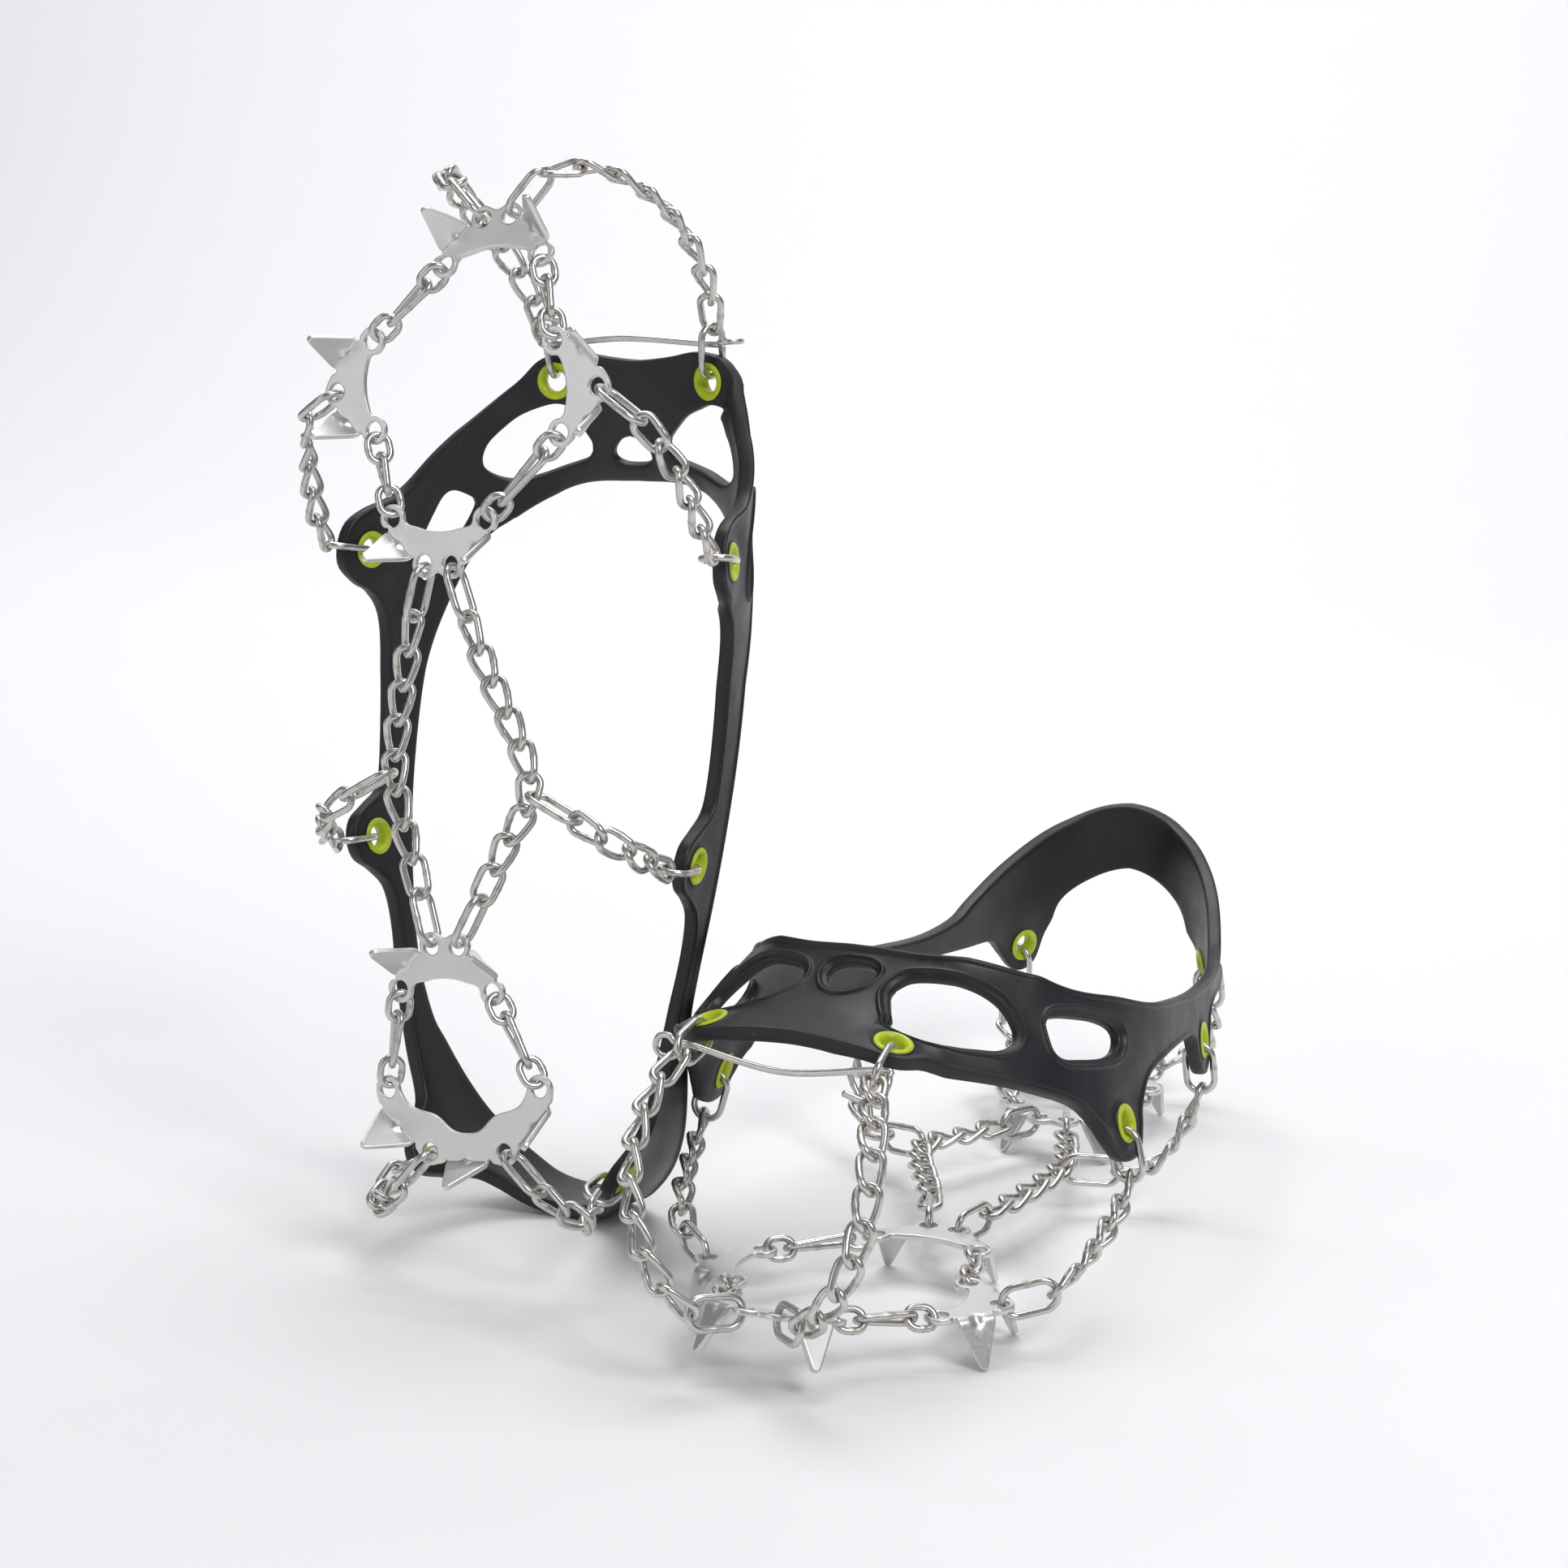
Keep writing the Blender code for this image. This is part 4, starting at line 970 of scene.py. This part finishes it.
# --- one cleat ------------------------------------------------------
# Places are in the cleat's own frame, mm: the toe at -y, the boot's outer side at +x, the spikes at -z.
UP = np.array([0, 0, 1.0])
WIRE_IN = WIRE / 2 + BEAR_GAP  # from a bearing point to the middle of a link's wire
PLATE_SEAT, EYELET_SEAT, TIE_SEAT = 0.5, 1.45, 1.15  # an end link's wire from the hole's centre
TIE_ROLL = 42  # degrees that the links between plates lean
TIE_HALF, TIE_TWIST = 2.4, 12  # the middle link of a tie
# chain, eyelet, then for the outer and the inner side: the plate's hole, and the way between
CLIMBS = (
    ("toe_chain", "toe",
     (("toe_plate", 0), ((20, -117, 9), (31, -119, 21), (41, -110, 38), (44.5, -94, 54))),
     (("toe_plate", 1), ((-9, -115, 9), (-21, -119, 22), (-25, -112, 40), (-21, -98, 57)))),
    ("fore_chain", "fore",
     (("side_plate_out", 1), ((54, -53, 2), (62, -38, 12))),
     (("side_plate_in", 1), ((-51, -53, 2), (-59, -38, 12)))),
    ("heel_chain", "heel",
     (("heel_plate", 2), ((32, 157, 0), (43, 166, 7))),
     (("heel_plate", 3), ((-14, 162, 0), (-27, 170, 8)))),
)
# side and its sign, holes of the ball and arch plates, the way between, which forks at its second point,
# and the way of the branch
TRUNKS = (
    ("out", 1, 1, 0, ((8, 12, 1), (24.8, 45.7, 2), (18.5, 62, 1.5)), ((49, 60, 2),)),
    ("in", -1, 0, 1, ((-15.5, 12, 1), (-20, 46, 2), (-13, 70, 1.5)), ((-44, 60, 2),)),
)
# the plates' holes that each tie joins
TIES = (
    ("tie_toe_out", ("toe_plate", 2), ("side_plate_out", 0)),
    ("tie_toe_in", ("toe_plate", 3), ("side_plate_in", 0)),
    ("tie_ball_out", ("side_plate_out", 2), ("ball_plate", 3)),
    ("tie_ball_in", ("side_plate_in", 2), ("ball_plate", 2)),
    ("tie_heel_out", ("arch_plate", 2), ("heel_plate", 0)),
    ("tie_heel_in", ("arch_plate", 3), ("heel_plate", 1)),
)
RING_AT, RING_R, RING_LEAD = 6.6, 3.2, 1.4  # the ring bent into the bail's outer end
RING_TURNS = (-190, -130, -70, -10, 50, 105, 150)
BAIL_SAG = (0, -1.5, -3.5)
# the bail's hook round the inner toe chain: how far across, down the tab and off the harness
HOOK = ((-3.2, 1.5, -0.8), (-3.4, 5.5, -3.2), (0, 8.6, -4.4), (7, 7.4, -3.6))


def climb_ups(bearing, normal):
    """Which way each link faces on a climb to an eyelet, after the first."""
    return [away_from_boot(m) for m in (bearing[1:-2] + bearing[2:-1]) / 2] + [normal]


def climbing_chain(name, kind, sign, foot, way, material, matrix):
    """A chain from a plate's hole, up round the sole's edge, to an eyelet."""
    end, normal, pull = on_side(FRAMES, kind, sign)
    bearing = run_points([plate_hole(*foot), *map(np.array, way), end + pull * LONG_PITCH, end])
    rotation, _ = plate_place(foot[0])
    ups = [rotation @ UP] + climb_ups(bearing, normal)
    chain = Chain()
    chain.run(bearing, ups, PLATE_SEAT + WIRE_IN, EYELET_SEAT + WIRE_IN)
    chain.build(name, material, matrix)


def mid_chain(name, sign, ball, arch, way, climb, material, matrix):
    """A chain under the arch, from plate to plate, with a branch up to the rear eyelet."""
    a, b = plate_hole("ball_plate", ball), plate_hole("arch_plate", arch)
    chain = Chain()
    made = chain.run(run_points([a, *way, b]), [UP], PLATE_SEAT + WIRE_IN, PLATE_SEAT + WIRE_IN)
    fork = np.array(way[1])
    middle, across = min(made[1:-1], key=lambda m: np.linalg.norm(m[0] - fork))
    start = middle + across * math.copysign(CURB_HALF - WIRE_IN, across[0] * sign)
    end, normal, pull = on_side(FRAMES, "rear", sign)
    branch = run_points([start, *climb, end + pull * LONG_PITCH, end])
    chain.run(branch, [UP] + climb_ups(branch, normal), 0, EYELET_SEAT + WIRE_IN)
    chain.build(name, material, matrix)


def tie(name, a, b, material, matrix):
    """Three small links between two plates."""
    a, b = plate_hole(*a), plate_hole(*b)
    ahead = unit(b - a)
    seat = ahead * (TIE_SEAT + WIRE_IN)
    stops = (a + seat, a + ahead * TIE_PITCH, b - ahead * TIE_PITCH, b - seat)
    chain = Chain()
    chain.link(stops[0], stops[1], UP, CURB_HALF, (0, 0), 90 + TIE_ROLL)
    chain.link(stops[1], stops[2], UP, TIE_HALF, (-TIE_TWIST, TIE_TWIST), TIE_ROLL)
    chain.link(stops[2], stops[3], UP, CURB_HALF, (0, 0), 90 + TIE_ROLL)
    chain.build(name, material, matrix)


def toe_bail(name, material, matrix):
    """One wire between the toe chains: a ring at one end, a slack span, and a hook at the other."""
    (right, _, pull), (left, normal, back) = (on_side(FRAMES, "toe", sign) for sign in (1, -1))
    right, left = right + pull * BAIL_REACH, left + back * BAIL_REACH
    last = len(RING_TURNS) - 1
    ring = [
        right + (RING_AT + RING_R * math.cos(a), -RING_LEAD * k / last, -1 + RING_R * math.sin(a))
        for k, a in enumerate(np.radians(RING_TURNS))
    ]
    path = ring[::-1] + [right, (right + left) / 2 + BAIL_SAG, left]
    path += [left + (across, 0, 0) + back * along + normal * off for across, along, off in HOOK]
    points, faces = tube(smooth(path, 10), BAIL_WIRE / 2, 16)
    piece(name, points, faces, material, matrix)


def cleat(tag, matrix, looks):
    """Every piece of one cleat."""
    rubber, lime, steel, bright = looks
    harness(f"{tag}_harness", rubber, matrix)
    for kind, _, _ in EYELETS:
        for sign, side in SIDES:
            eyelet(f"{tag}_eyelet_{kind}_{side}", kind, sign, lime, matrix)
    for name in PLATES:
        plate(name, f"{tag}_{name}", steel, matrix)
    for label, kind, *ways in CLIMBS:
        for (sign, side), (foot, way) in zip(SIDES, ways):
            climbing_chain(f"{tag}_{label}_{side}", kind, sign, foot, way, bright, matrix)
    for side, *route in TRUNKS:
        mid_chain(f"{tag}_mid_chain_{side}", *route, bright, matrix)
    for label, a, b in TIES:
        tie(f"{tag}_{label}", a, b, bright, matrix)
    toe_bail(f"{tag}_toe_bail", bright, matrix)


looks = (elastomer(), lime_plastic(), plate_steel(), wire_steel())
metres = Matrix.Scale(0.001, 4)  # from mm
flat = metres @ Matrix.Translation(FLAT_AT) @ Matrix.Diagonal((-1, 1, 1, 1))
heel_down = Matrix(((1, 0, 0, 0), (0, 0, 1, 0), (0, -1, 0, 0), (0, 0, 0, 1)))
rotation = (
    Matrix.Rotation(UPRIGHT_YAW, 4, "Z") @ Matrix.Rotation(UPRIGHT_LEAN, 4, "X")
    @ Matrix.Rotation(UPRIGHT_ROLL, 4, "Y")
)
upright = metres @ Matrix.Translation(UPRIGHT_AT) @ rotation @ heel_down
cleat("flat", flat, looks)
cleat("upright", upright, looks)


# --- floor, light and camera, in metres -----------------------------
FLOOR_FRONT, FLOOR_BACK, FLOOR_HALF = -3.0, 1.2, 4.0
COVE_R, WALL_TOP = 0.8, 4.0  # the curve from the floor up into the wall behind
FLOOR_DROP = 0.0002  # keeps the floor clear of what rests on it


def pale():
    made, _, shader = new_material("floor")
    shader.inputs["Base Color"].default_value = (0.88, 0.88, 0.89, 1)
    shader.inputs["Roughness"].default_value = 0.7
    return made


def backdrop():
    """A pale floor that curves up behind."""
    turns = np.linspace(0.1, math.pi / 2, 12)
    profile = [(FLOOR_FRONT, 0.0), (FLOOR_BACK, 0.0)]
    profile += [(FLOOR_BACK + COVE_R * math.sin(a), COVE_R - COVE_R * math.cos(a)) for a in turns]
    profile += [(FLOOR_BACK + COVE_R, WALL_TOP)]
    points = [(x, y, z - FLOOR_DROP) for x in (-FLOOR_HALF, FLOOR_HALF) for y, z in profile]
    n = len(profile)
    mesh = bpy.data.meshes.new("floor")
    mesh.from_pydata(points, [], [(i, i + n, i + n + 1, i + 1) for i in range(n - 1)])
    mesh.shade_smooth()
    mesh.materials.append(pale())
    obj = add_object("floor", mesh)


def area(name, at, toward, size, power):
    """A rectangular lamp at a place, facing another; power in watts."""
    light = bpy.data.lights.new(name, "AREA")
    light.shape, light.size, light.size_y = "RECTANGLE", size[0], size[1]
    light.energy = power
    obj = add_object(name, light)
    obj.location = at
    obj.rotation_euler = (Vector(toward) - Vector(at)).to_track_quat("-Z", "Y").to_euler()


backdrop()
area("key", (0.95, -0.55, 1.1), (0, 0, 0.1), (0.5, 0.5), 9)
area("fill", (-1.0, -1.7, 0.95), (0, 0, 0.15), (1.7, 1.7), 8)
area("top", (-0.1, 0.35, 1.5), (0, 0, 0), (1.0, 0.8), 10)
area("wall", (-1.0, 0.85, 1.7), (-1.1, 1.95, 0.4), (2.8, 0.6), 25)
world = bpy.data.worlds.new("studio")
world.use_nodes = True
world.node_tree.nodes["Background"].inputs["Color"].default_value = (0.9, 0.93, 1.0, 1)
world.node_tree.nodes["Background"].inputs["Strength"].default_value = 0.2
bpy.context.scene.world = world
bpy.context.scene.view_settings.view_transform = "Standard"

CAMERA_AT = (0.3574, -0.7764, 0.3056)
CAMERA_BACK = (0.4111, -0.8882, 0.2052)  # the way from the view to the camera
camera = bpy.data.cameras.new("camera")
camera.lens, camera.sensor_width = 68.5, 36.0
camera.clip_start, camera.clip_end = 0.01, 20
view = add_object("camera", camera)
view.location = CAMERA_AT
view.rotation_euler = Vector(CAMERA_BACK).to_track_quat("Z", "Y").to_euler()
bpy.context.scene.camera = view
